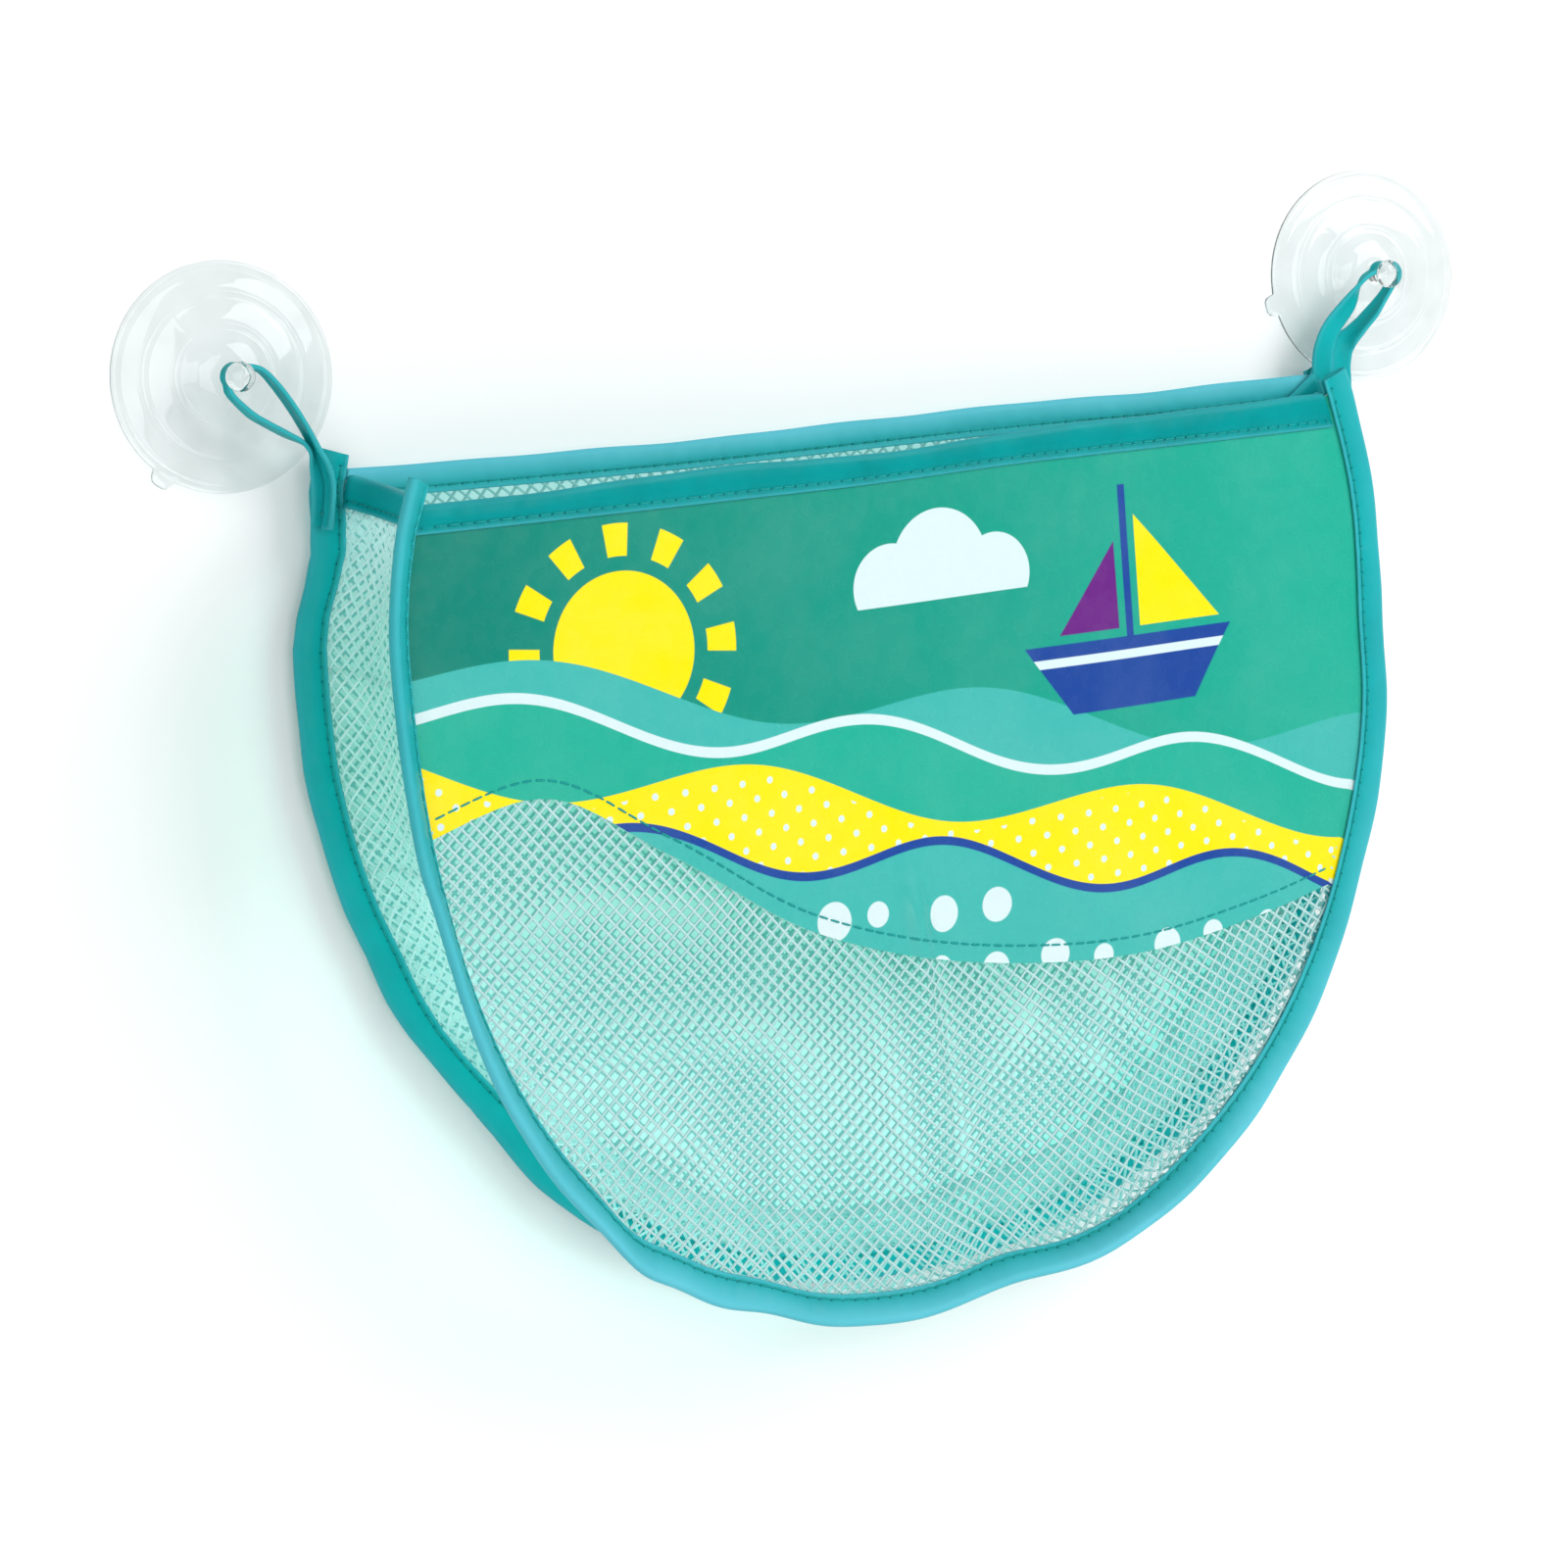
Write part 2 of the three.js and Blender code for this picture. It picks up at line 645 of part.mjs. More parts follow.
function alongGussetTop(frames, section) {
  const rings = frames.map(({ point, down, normal }) => section
    .map(([h, q]) => point.clone().addScaledVector(down, -h).addScaledVector(normal, q)));
  return loft(rings, section);
}

function gussetTopBinding(frames) {
  const section = foldedSection(-TOP_BINDING_HEIGHT, 0, TOP_SLOT, TOP_HALF, TOP_BINDING_ROUND);
  return alongGussetTop(frames, section);
}

function gussetThread(frames, inward) {
  const h = TOP_STITCH_INSET - TOP_BINDING_HEIGHT;
  const q = inward * (TOP_HALF + GAP + THREAD / 2);
  return alongGussetTop(frames, squareSection(THREAD).map(([dh, dq]) => [h + dh, q + dq]));
}

// Suction cups

function cupProfile() {
  const ringTop = (radius, height) => [
    [radius + RING_WIDTH, height - RING_STEP],
    [radius + RING_WIDTH / 2, height],
    [radius - RING_WIDTH / 2, height],
    [radius - RING_WIDTH, height - RING_STEP / 2],
  ];
  const under = [[0, CUP_HOLLOW], [CUP_RADIUS - CUP_LAND, 0], [CUP_RADIUS - RIM_ROUND, 0]];
  const rim = [
    [CUP_RADIUS, RIM_ROUND],
    [CUP_RADIUS, RIM_HEIGHT - RIM_ROUND],
    [CUP_RADIUS - RIM_ROUND, RIM_HEIGHT],
    [CUP_RADIUS - RIM_BEAD, RIM_HEIGHT],
    [CUP_RADIUS - RIM_BEAD - RING_STEP, WEB_HEIGHT],
  ];
  const rings = [
    ...ringTop(OUTER_RING_RADIUS, OUTER_RING_HEIGHT),
    ...ringTop(INNER_RING_RADIUS, INNER_RING_HEIGHT),
    [COLLAR_RADIUS + RING_WIDTH, DOME_HEIGHT - RING_STEP],
    [COLLAR_RADIUS, DOME_HEIGHT],
  ];
  const neckTop = DOME_HEIGHT + NECK_LENGTH;
  const neck = [
    [NECK_RADIUS + NECK_FILLET, DOME_HEIGHT],
    [NECK_RADIUS, DOME_HEIGHT + NECK_FILLET],
    [NECK_RADIUS, neckTop - NECK_FILLET],
    [NECK_RADIUS + NECK_FILLET, neckTop],
  ];
  const headTop = neckTop + HEAD_HEIGHT;
  const head = [
    [HEAD_RADIUS - HEAD_ROUND, neckTop],
    [HEAD_RADIUS, neckTop + HEAD_ROUND],
    [HEAD_RADIUS - HEAD_ROUND / 2, headTop - 2 * HEAD_ROUND],
    [HEAD_RADIUS - 2 * HEAD_ROUND, headTop - HEAD_ROUND / 3],
    [0, headTop],
  ];
  return [...under, ...rim, ...rings, ...neck, ...head]
    .map(([radius, height]) => new THREE.Vector2(radius, height));
}

function suctionCup(tabAngle) {
  const cup = new THREE.LatheGeometry(cupProfile(), CUP_SEGMENTS);
  cup.rotateX(Math.PI);
  const half = TAB_WIDTH / 2;
  const [root, tip] = [CUP_RADIUS - TAB_ROOT, CUP_RADIUS + TAB_REACH];
  const tongue = new THREE.Shape();
  tongue.moveTo(root, -half);
  tongue.lineTo(tip - half / 2, -half);
  tongue.quadraticCurveTo(tip, -half, tip, 0);
  tongue.quadraticCurveTo(tip, half, tip - half / 2, half);
  tongue.lineTo(root, half);
  const thickness = { depth: TAB_THICKNESS, bevelEnabled: false, curveSegments: 3 };
  const tab = new THREE.ExtrudeGeometry(tongue, thickness);
  tab.rotateX(Math.PI / 2);
  tab.translate(0, -TAB_SEAT, 0);
  tab.rotateY(-THREE.MathUtils.degToRad(tabAngle));
  return joined([cup, tab]);
}

// Hanging loops: a flat strap from its sewn tail, round the knob's neck and back

function tailCentre(side, leg, drop) {
  const [cos, sin] = [Math.cos(BACK_FLANGE_ANGLE), Math.sin(BACK_FLANGE_ANGLE)];
  const seat = (EDGE_HALF - TAIL_INSET * sin) / cos + GAP;
  const stack = STRAP_THICKNESS / 2 + leg * (STRAP_THICKNESS + LEG_GAP);
  const [out, forward] = side < 0 ? [stack, STRAP_WIDTH / 2] : [STRAP_WIDTH / 2, stack];
  const x = shoulderHalfWidth(drop) + TAIL_INSET + out;
  return new THREE.Vector3(side * x, -BACK_STANDOFF - seat - forward, -BAG_DROP - drop);
}

function loopPath(side) {
  const drops = [TAIL_LENGTH, TAIL_LENGTH / 2, -TAIL_RISE];
  const rise = drops.map((drop) => tailCentre(side, 0, drop));
  const fall = drops.map((drop) => tailCentre(side, 1, drop)).reverse();
  const knob = new THREE.Vector3(side * CUP_X, NECK_Y, 0);
  const radius = NECK_RADIUS + STRAP_GAP + STRAP_THICKNESS / 2;
  const towards = rise[2].clone().add(fall[0]).multiplyScalar(0.5).sub(knob);
  const first = Math.atan2(towards.z, towards.x) + Math.PI / 2;
  const wrap = Array.from({ length: ARC_STEPS + 1 }, (_, k) => {
    const angle = first + (Math.PI * k) / ARC_STEPS;
    return knob.clone().add(new THREE.Vector3(radius * Math.cos(angle), 0, radius * Math.sin(angle)));
  });
  return new THREE.CatmullRomCurve3([...rise, ...wrap, ...fall]);
}

// The left strap stays edge-on all the way; the right one turns flat towards its tail.
function hangingLoop(side) {
  const path = loopPath(side);
  const [low, high] = [TAIL_RISE - BAG_DROP, -NECK_RADIUS];
  const section = squareSection(1).map(([w, t]) => [w * STRAP_WIDTH, t * STRAP_THICKNESS]);
  const rings = Array.from({ length: LOOP_STEPS + 1 }, (_, k) => {
    const point = path.getPointAt(k / LOOP_STEPS);
    const tangent = path.getTangentAt(k / LOOP_STEPS);
    const turn = side < 0 ? 1 : THREE.MathUtils.smoothstep(point.z, low, high);
    const wide = new THREE.Vector3(Math.cos((turn * Math.PI) / 2), Math.sin((turn * Math.PI) / 2), 0);
    wide.addScaledVector(tangent, -wide.dot(tangent)).normalize();
    const thin = tangent.clone().cross(wide);
    return section.map(([w, t]) => point.clone().addScaledVector(wide, w).addScaledVector(thin, t));
  });
  return loft(rings, section);
}

// The bar of thread lies square to its strap, on the outer leg.
function barTack(side) {
  const length = STRAP_WIDTH - 2 * TACK_INSET;
  const clear = STRAP_THICKNESS / 2 + GAP + THREAD / 2;
  const above = tailCentre(side, 1, TACK_DROP - THREAD);
  const along = tailCentre(side, 1, TACK_DROP + THREAD).sub(above).normalize();
  const depth = new THREE.Vector3(0, -1, 0);
  const across = along.clone().cross(depth);
  const [wide, out] = side < 0 ? [depth, across] : [across.negate(), depth];
  const bar = new THREE.BoxGeometry(length, THREAD, THREAD);
  bar.applyMatrix4(new THREE.Matrix4().makeBasis(wide, out, along));
  bar.translate(...tailCentre(side, 1, TACK_DROP).addScaledVector(out, clear).toArray());
  return bar;
}

// Assembly

const organizer = new THREE.Group();

const leftCup = piece('left_suction_cup', suctionCup(LEFT_TAB_ANGLE), 'clear');
leftCup.position.x = -CUP_X;
const rightCup = piece('right_suction_cup', suctionCup(RIGHT_TAB_ANGLE), 'clear');
rightCup.position.x = CUP_X;
organizer.add(leftCup, rightCup);

backPanel.add(
  piece('back_net', backNet(), 'net'),
  piece('back_top_binding', topBinding(), 'binding'),
  piece('back_edge_binding', edgeBinding(BACK), 'binding'),
  piece('back_top_seam_thread', topThread(BACK), 'thread'),
  piece('back_edge_seam_thread', edgeThread(BACK), 'thread'),
);

frontPanel.add(
  piece('front_net', frontNet(), 'net'),
  piece('print_panel', printPanel(), 'print'),
  piece('front_top_binding', topBinding(), 'binding'),
  piece('front_edge_binding', edgeBinding(FRONT), 'binding'),
  piece('front_top_seam_thread', topThread(FRONT), 'thread'),
  piece('front_edge_seam_thread', edgeThread(FRONT), 'thread'),
  piece('hem_seam_thread', hemThread(), 'thread'),
);

const leftTop = gussetTop(stations[0], station(boundShare));
const rightTop = gussetTop(stations[stations.length - 1], station(1 - boundShare));
organizer.add(
  backPanel,
  frontPanel,
  piece('gusset_net', gussetNet(), 'net'),
  piece('gusset_top_binding_left', gussetTopBinding(leftTop), 'binding'),
  piece('gusset_top_binding_right', gussetTopBinding(rightTop), 'binding'),
  piece('gusset_seam_thread_left', gussetThread(leftTop, -1), 'thread'),
  piece('gusset_seam_thread_right', gussetThread(rightTop, 1), 'thread'),
  piece('left_hanging_loop', hangingLoop(-1), 'binding'),
  piece('right_hanging_loop', hangingLoop(1), 'binding'),
  piece('left_loop_bar_tack', barTack(-1), 'thread'),
  piece('right_loop_bar_tack', barTack(1), 'thread'),
);

export default organizer;
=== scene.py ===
import math
from functools import partialmethod
import bpy
import numpy as np
from mathutils import Matrix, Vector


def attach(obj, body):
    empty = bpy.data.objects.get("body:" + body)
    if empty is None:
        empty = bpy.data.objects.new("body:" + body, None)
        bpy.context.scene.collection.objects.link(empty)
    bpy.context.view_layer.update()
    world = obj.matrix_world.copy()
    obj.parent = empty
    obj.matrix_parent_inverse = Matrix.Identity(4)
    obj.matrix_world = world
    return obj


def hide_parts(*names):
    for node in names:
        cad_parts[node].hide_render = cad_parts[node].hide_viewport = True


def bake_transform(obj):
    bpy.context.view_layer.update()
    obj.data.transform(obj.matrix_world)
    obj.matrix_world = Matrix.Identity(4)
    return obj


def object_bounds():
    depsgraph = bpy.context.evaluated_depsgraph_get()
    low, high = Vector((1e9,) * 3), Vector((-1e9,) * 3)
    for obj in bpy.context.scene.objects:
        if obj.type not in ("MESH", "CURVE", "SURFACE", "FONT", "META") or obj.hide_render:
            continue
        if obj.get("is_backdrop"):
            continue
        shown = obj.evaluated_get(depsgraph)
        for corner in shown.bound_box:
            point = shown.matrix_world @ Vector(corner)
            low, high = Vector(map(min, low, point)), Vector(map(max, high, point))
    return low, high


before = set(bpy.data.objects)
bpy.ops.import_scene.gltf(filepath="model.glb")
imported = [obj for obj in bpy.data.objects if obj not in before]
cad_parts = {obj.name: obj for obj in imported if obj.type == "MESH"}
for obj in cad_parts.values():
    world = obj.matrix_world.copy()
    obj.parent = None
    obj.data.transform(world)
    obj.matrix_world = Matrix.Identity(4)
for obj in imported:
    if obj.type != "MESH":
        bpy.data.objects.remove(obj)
CAD_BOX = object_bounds()

MM = 0.001

# Sizes of the solids, in millimetres
CUP_X = 215.0
CUP_RADIUS, CUP_LAND, CUP_HOLLOW = 37.5, 6.0, 2.5
RIM_HEIGHT, RIM_BEAD, WEB_HEIGHT = 2.4, 2.6, 1.9
OUTER_RING, INNER_RING = (27.0, 4.0), (16.7, 6.1)
RING_WIDTH, RING_STEP = 1.4, 0.5
COLLAR_RADIUS, DOME_HEIGHT = 6.5, 9.2
NECK_RADIUS, NECK_LENGTH = 2.8, 8.8
HEAD_RADIUS, HEAD_HEIGHT, HEAD_ROUND = 5.0, 4.7, 0.95
TAB_HALF_WIDTH, TAB_REACH = 3.7, 3.8
LEFT_TAB_ANGLE, RIGHT_TAB_ANGLE = 233.0, 192.0
HALF_TOP, HALF_WIDTH, PANEL_HEIGHT = 180.0, 189.0, 283.0
SHOULDER_DROP, OUTLINE_POWER = 52.0, 2.25
BAG_DROP, BACK_STANDOFF = 32.5, 10.09
DEPTH_LEFT, DEPTH_RIGHT, DEPTH_BOTTOM = 60.0, 16.0, 34.0
FRONT_DROP, FRONT_SHIFT = 8.5, 1.0
GUSSET_WIDTH, GUSSET_SEAM_OUT, LEAF_OFFSET, FOLD_POWER = 64.0, 0.9, 4.2, 3
BINDING_WIDTH, BINDING_START, BINDING_STANDUP = 11.0, 1.5, 4.0
EDGE_STITCH, TOP_STITCH = 2.0, 2.5
HEM_SHARES = (-1.06, -0.77, -0.53, -0.24, 0.09, 0.43, 0.71, 1.06)
HEM_LEFT, HEM_CREST, HEM_TROUGH, HEM_RIGHT = 113.0, 100.0, 183.0, 165.0
HEM_FALLS = (0.29, 0.69, 0.92, 1.0, 0.94)
HEM_OVERLAP, HEM_STITCH = 12.0, 6.0
STRAP_WIDTH, STRAP_THICKNESS, STRAP_GAP, TACK_DROP = 8.2, 1.7, 0.3, 14.0

# How far each edge binding turns out of its panel, in degrees, against the share of the seam
BACK_FLANGE = ((0, 10), (1, 10))
FRONT_FLANGE = (
    (0, 45), (0.13, 46), (0.17, 54), (0.21, 52), (0.29, 43), (0.36, 33), (0.405, 24), (0.45, 34),
    (0.49, 42), (0.55, 52), (0.595, 60), (0.63, 48), (0.67, 28), (0.72, 12), (0.8, 7), (0.86, 5),
    (0.9, 1), (0.94, -2), (1, 3),
)

# Fine sizes that only the visible pieces have
NET_PITCH, STRAND_WIDTH, STRAND_HEIGHT, STRAND_WEAVE = 3.6, 0.8, 0.58, 0.1
NET_TURN, GUSSET_TURN = math.radians(48), math.radians(45)
GRAIN_TURN, GRAIN_LEVEL = math.radians(12), 190.0
NET_LIP, LIP_LAYER, NET_SETBACK, NET_TOP_GAP = 5.0, 0.55, 1.1, 2.5
SHEET_THICKNESS, TAPE = 0.7, 0.6
EDGE_HALF, EDGE_PINCH = 1.95, 0.38
TOP_HALF, TOP_PINCH = 1.5, 0.5
STITCH_PITCH, STITCH_SHARE, STITCH_SIDES, THREAD_RADIUS = 4.6, 0.86, 6, 0.36
TACK_PITCH, TACK_RADIUS, TACK_ROWS = 2.1, 0.3, (-0.45, 0.0, 0.45)
NEEDLE_REACH, NEEDLE_DEPTH = 0.7, 0.3

# The photograph's camera, worked out for a square image
CAMERA_YAW, CAMERA_RISE, CAMERA_ROLL = 0.43345543, 0.11157889, -0.07951947
CAMERA_DISTANCE = 1683.2
CAMERA_AIM = (-36.56, -20.0, -152.24)
CAMERA_LENS = 114.82

RNG = np.random.default_rng(7)


def unit(vectors):
    return vectors / np.maximum(np.linalg.norm(vectors, axis=-1, keepdims=True), 1e-9)


def smooth(low, high, value):
    share = np.clip((value - low) / (high - low), 0, 1)
    return share * share * (3 - 2 * share)


def hump(value, middle, width):
    return np.exp(-((value - middle) / width) ** 2)


def catmull(points, count):
    points = np.asarray(points, float)
    ends = np.vstack([2 * points[0] - points[1], points, 2 * points[-1] - points[-2]])
    t = np.linspace(0, len(points) - 1, count)
    i = np.minimum(t.astype(int), len(points) - 2)
    f = (t - i)[:, None]
    a, b, c, d = (ends[i + k] for k in range(4))
    return 0.5 * (2 * b + (c - a) * f + (2 * a - 5 * b + 4 * c - d) * f**2 + (3 * b - a - 3 * c + d) * f**3)


def lengths(line):
    """How far along a line each of its points lies."""
    return np.concatenate([[0], np.cumsum(np.linalg.norm(np.diff(line, axis=0), axis=1))])


def followed(line, along, wanted):
    """Points of a line at the wanted distances along it."""
    return np.stack([np.interp(wanted, along, column) for column in line.T], -1)


def evenly(line, count):
    """The same line through count points an equal way apart."""
    along = lengths(line)
    return followed(line, along, np.linspace(0, along[-1], count))


def stacked(*columns):
    return np.stack(np.broadcast_arrays(*columns), -1)


def wander(along, periods, phase):
    """A slow, irregular swing between about -1 and 1."""
    waves = (np.sin(along / period * 2 * math.pi + phase * (k + 1)) for k, period in enumerate(periods))
    return sum(waves) / len(periods)


# Panel outline and hem

SEAM_POINTS, HEM_POINTS = 2400, 400


def shoulder_half_width(drop):
    return HALF_WIDTH - (HALF_WIDTH - HALF_TOP) * (1 - drop / SHOULDER_DROP) ** 2


def outline():
    drops = np.linspace(0, SHOULDER_DROP, 60)[:-1]
    left = np.column_stack([-shoulder_half_width(drops), -drops])
    angle = np.radians(np.linspace(0, 180, 721))
    power = 2 / OUTLINE_POWER
    across = -HALF_WIDTH * np.sign(np.cos(angle)) * np.abs(np.cos(angle)) ** power
    down = -SHOULDER_DROP - (PANEL_HEIGHT - SHOULDER_DROP) * np.sin(angle).clip(0) ** power
    return evenly(np.vstack([left, np.column_stack([across, down]), left[::-1] * (-1, 1)]), SEAM_POINTS)


SEAM = outline()
SEAM_ALONG = lengths(SEAM)
SEAM_LENGTH = SEAM_ALONG[-1]


def seam_at(s):
    """Point and outward normal of the seam, s millimetres from the left top corner."""
    s = np.asarray(s, float)
    held = np.clip(s, 0, SEAM_LENGTH)
    places = np.maximum(held - 1, 0), held, np.minimum(held + 1, SEAM_LENGTH)
    before, point, after = (followed(SEAM, SEAM_ALONG, at) for at in places)
    tangent = unit(after - before)
    return point + tangent * (s - held)[..., None], stacked(tangent[..., 1], -tangent[..., 0])


def seam_distance(u, v, batch=4000):
    """How far each point lies outside the seam, and where along it the nearest point is."""
    flat = np.column_stack([np.ravel(u), np.ravel(v)])
    coarse = SEAM[::3]
    nearest = np.empty(len(flat), int)
    for start in range(0, len(flat), batch):
        part = flat[start:start + batch]
        nearest[start:start + batch] = ((part[:, None] - coarse[None]) ** 2).sum(-1).argmin(1)
    s = SEAM_ALONG[::3][nearest]
    point, normal = seam_at(s)
    tangent = stacked(-normal[:, 1], normal[:, 0])
    s = s + ((flat - point) * tangent).sum(-1)
    point, normal = seam_at(s)
    return ((flat - point) * normal).sum(-1).reshape(np.shape(u)), s.reshape(np.shape(u))


def depth_share(v):
    return np.clip((-v - SHOULDER_DROP) / (PANEL_HEIGHT - SHOULDER_DROP), 0, 1)


def half_width(v):
    rounded = HALF_WIDTH * (1 - depth_share(v) ** OUTLINE_POWER) ** (1 / OUTLINE_POWER)
    return np.where(-v < SHOULDER_DROP, shoulder_half_width(np.maximum(-v, 0)), rounded)


HEM_DROPS = [HEM_LEFT, HEM_CREST, *(HEM_CREST + (HEM_TROUGH - HEM_CREST) * f for f in HEM_FALLS), HEM_RIGHT]
HEM = catmull([(share * HALF_WIDTH, -drop) for share, drop in zip(HEM_SHARES, HEM_DROPS)], HEM_POINTS)


def hem_height(u):
    return np.interp(u, *HEM.T)


# How the two panels hang


class Panel:
    """One face of the bag. u runs across, v up from the top edge, w out of the bag."""

    def __init__(self, word, side, origin, turn, flange, lean, billow):
        self.word, self.body, self.side, self.origin = word, f"bag_{word}", side, np.array(origin)
        self.turn, self.lean, self.billow = turn, lean, billow
        self.flange = catmull([(share * SEAM_LENGTH, math.radians(angle)) for share, angle in flange], 300)

    def place(self, u, v, w):
        u, v, w = np.broadcast_arrays(u, v, w)
        du, dv = self.lean(u, v)
        return stacked(u + du, self.side * w, v + dv) @ self.turn.T + self.origin

    def at_seam(self, s, a, b):
        point, normal = seam_at(s)
        return self.place(point[..., 0] + a * normal[..., 0], point[..., 1] + a * normal[..., 1], b)

    def on_flange(self, s, p, q):
        angle = np.interp(s, *self.flange.T)
        cos, sin = np.cos(angle), np.sin(angle)
        return self.at_seam(s, p * cos - q * sin, p * sin + q * cos)


# Height on the back's left edge against its shift to the right
BACK_LEFT = np.array([
    (6, 2.3), (-7, 3.5), (-17, 6.0), (-27, 7.0), (-37, 4.9), (-47, 1.5), (-57, -0.5), (-77, -1.5),
    (-97, -2.4), (-126, -2.2), (-145, -1.3), (-160, 0.0), (-176, 0.0), (-188, 0.8), (-205, 3.6),
    (-215, 5.0), (-225, 4.7), (-235, 3.3), (-245, 1.5), (-258, 0.0),
])
# Place across the front against the rise of its top edge
FRONT_TOP = catmull([
    (-210, -1.4), (-190, -2.2), (-166, -3.0), (-140, -2.5), (-114, -1.8), (-67, -0.7), (-41, -1.1),
    (-5, -2.4), (50, -1.5), (100, -0.9), (190, -0.1), (210, 0),
], 200)
# Height, place and width of the tucks in the front's lower edge
FRONT_TUCKS = ((3.7, 24, 20), (-2.7, 76, 26), (2.4, -72, 16), (-3.3, -120, 11))
BACK_SQUEEZE, FRONT_LIFT, SQUEEZE_END = 1.2, -1.1, 45


def top_squeeze(v, drop, lift):
    """The tape along a top edge is pulled a little narrower: drop from above, lift from below."""
    on_tape, below = smooth(0, BINDING_WIDTH, -v), smooth(BINDING_WIDTH, SQUEEZE_END, -v)
    return -drop + (drop + lift) * on_tape - lift * below


def back_lean(u, v):
    waist = np.interp(-v, -BACK_LEFT[:, 0], BACK_LEFT[:, 1]) * smooth(20, 90, -u)
    corner = smooth(110, 180, u) * np.exp(v / 35.0)
    wave = 0.7 * np.sin(u / 41.0) * np.exp(v / 18.0)
    return waist + 3.0 * corner, wave + 1.5 * corner + top_squeeze(v, BACK_SQUEEZE, 0.0)


def front_lean(u, v):
    top = top_squeeze(v, -np.interp(u, *FRONT_TOP.T), FRONT_LIFT)
    corner = 1.9 * smooth(-30, 60, u) * np.exp(v / 60.0)
    tuck = sum(rise * hump(u, middle, width) for rise, middle, width in FRONT_TUCKS) * smooth(180, 255, -v)
    right = 2.2 * smooth(70, 130, -v) * smooth(100, 170, u) + 1.6 * smooth(75, 110, -v) * smooth(60, 120, u)
    return right - 5.0 * smooth(60, PANEL_HEIGHT, -v), top + corner + tuck


def held_share(u, v):
    """0 along the seam, rising steeply to 1 in the middle of a panel."""
    inside = 1 - np.abs(u / np.maximum(half_width(v), 1)) ** OUTLINE_POWER
    return 1 - (1 - np.clip(np.minimum(inside, 1 - depth_share(v) ** 3), 0, 1)) ** 3


def front_billow(u, v):
    ripple = 1.3 * np.sin(u / 24.0 + v / 70.0) + 0.9 * np.sin(u / 13.0 - v / 95.0 + 1.0)
    pucker = hump(u + 4.0 + (v + 165.0) * 0.12, 0, 4.5) * smooth(-255, -215, v) * smooth(-135, -160, v)
    return held_share(u, v) * (3.5 + ripple * smooth(20, 150, -v) + 2.6 * pucker)


def back_billow(u, v):
    return held_share(u, v) * (1.0 * np.sin(u / 37.0 + 0.5) + 0.8 * np.sin(v / 31.0) - 1.5)


DEPTH_MIDDLE = (DEPTH_LEFT + DEPTH_RIGHT) / 2
FRONT_YAW = math.asin((DEPTH_LEFT - DEPTH_RIGHT) / (2 * HALF_TOP))
FRONT_PITCH = math.asin((DEPTH_MIDDLE - DEPTH_BOTTOM) / PANEL_HEIGHT)
BACK = Panel("back", 1, (0, -BACK_STANDOFF, -BAG_DROP), np.eye(3), BACK_FLANGE, back_lean, back_billow)
FRONT = Panel(
    "front", -1, (FRONT_SHIFT, -BACK_STANDOFF - DEPTH_MIDDLE, -BAG_DROP - FRONT_DROP),
    np.array(Matrix.Rotation(FRONT_YAW, 3, "Z") @ Matrix.Rotation(FRONT_PITCH, 3, "X")),
    FRONT_FLANGE, front_lean, front_billow,
)


# Mesh building


def mesh_piece(name, points, faces, material, places=None):
    """A smooth mesh object from points in millimetres; places are kept as the surface's own coordinates."""
    mesh = bpy.data.meshes.new(name)
    corners = (np.asarray(points).reshape(-1, 3) * MM).tolist()
    mesh.from_pydata(corners, [], [list(map(int, face)) for face in faces])
    mesh.update()
    mesh.polygons.foreach_set("use_smooth", [True] * len(mesh.polygons))
    if places is not None:
        kept = mesh.attributes.new("place", "FLOAT_VECTOR", "POINT")
        kept.data.foreach_set("vector", np.asarray(places, np.float32).ravel())
    mesh.materials.append(material)
    made = bpy.data.objects.new(name, mesh)
    bpy.context.scene.collection.objects.link(made)
    return made


def grid_faces(rows, columns, closed=False, flip=False):
    i, j = np.meshgrid(np.arange(rows - 1), np.arange(columns if closed else columns - 1), indexing="ij")
    k = (j + 1) % columns
    quads = [i * columns + j, i * columns + k, (i + 1) * columns + k, (i + 1) * columns + j]
    quads = np.stack(quads, -1).reshape(-1, 4)
    return quads[:, ::-1] if flip else quads


def tube_faces(rows, columns):
    """Faces of a closed tube, with both ends filled."""
    ends = [np.arange(columns)[::-1], np.arange(columns) + (rows - 1) * columns]
    return [*grid_faces(rows, columns, closed=True), *ends]


def swept(name, rings, material, places):
    return mesh_piece(name, rings, tube_faces(*rings.shape[:2]), material, places)


def joined(name, parts, material):
    """One piece from several (points, faces, places) groups."""
    points, faces, places, start = [], [], [], 0
    for group_points, group_faces, group_places in parts:
        points.append(np.asarray(group_points).reshape(-1, 3))
        places.append(np.asarray(group_places).reshape(-1, 3))
        faces.extend(np.asarray(face) + start for face in group_faces)
        start += len(points[-1])
    return mesh_piece(name, np.vstack(points), faces, material, np.vstack(places))


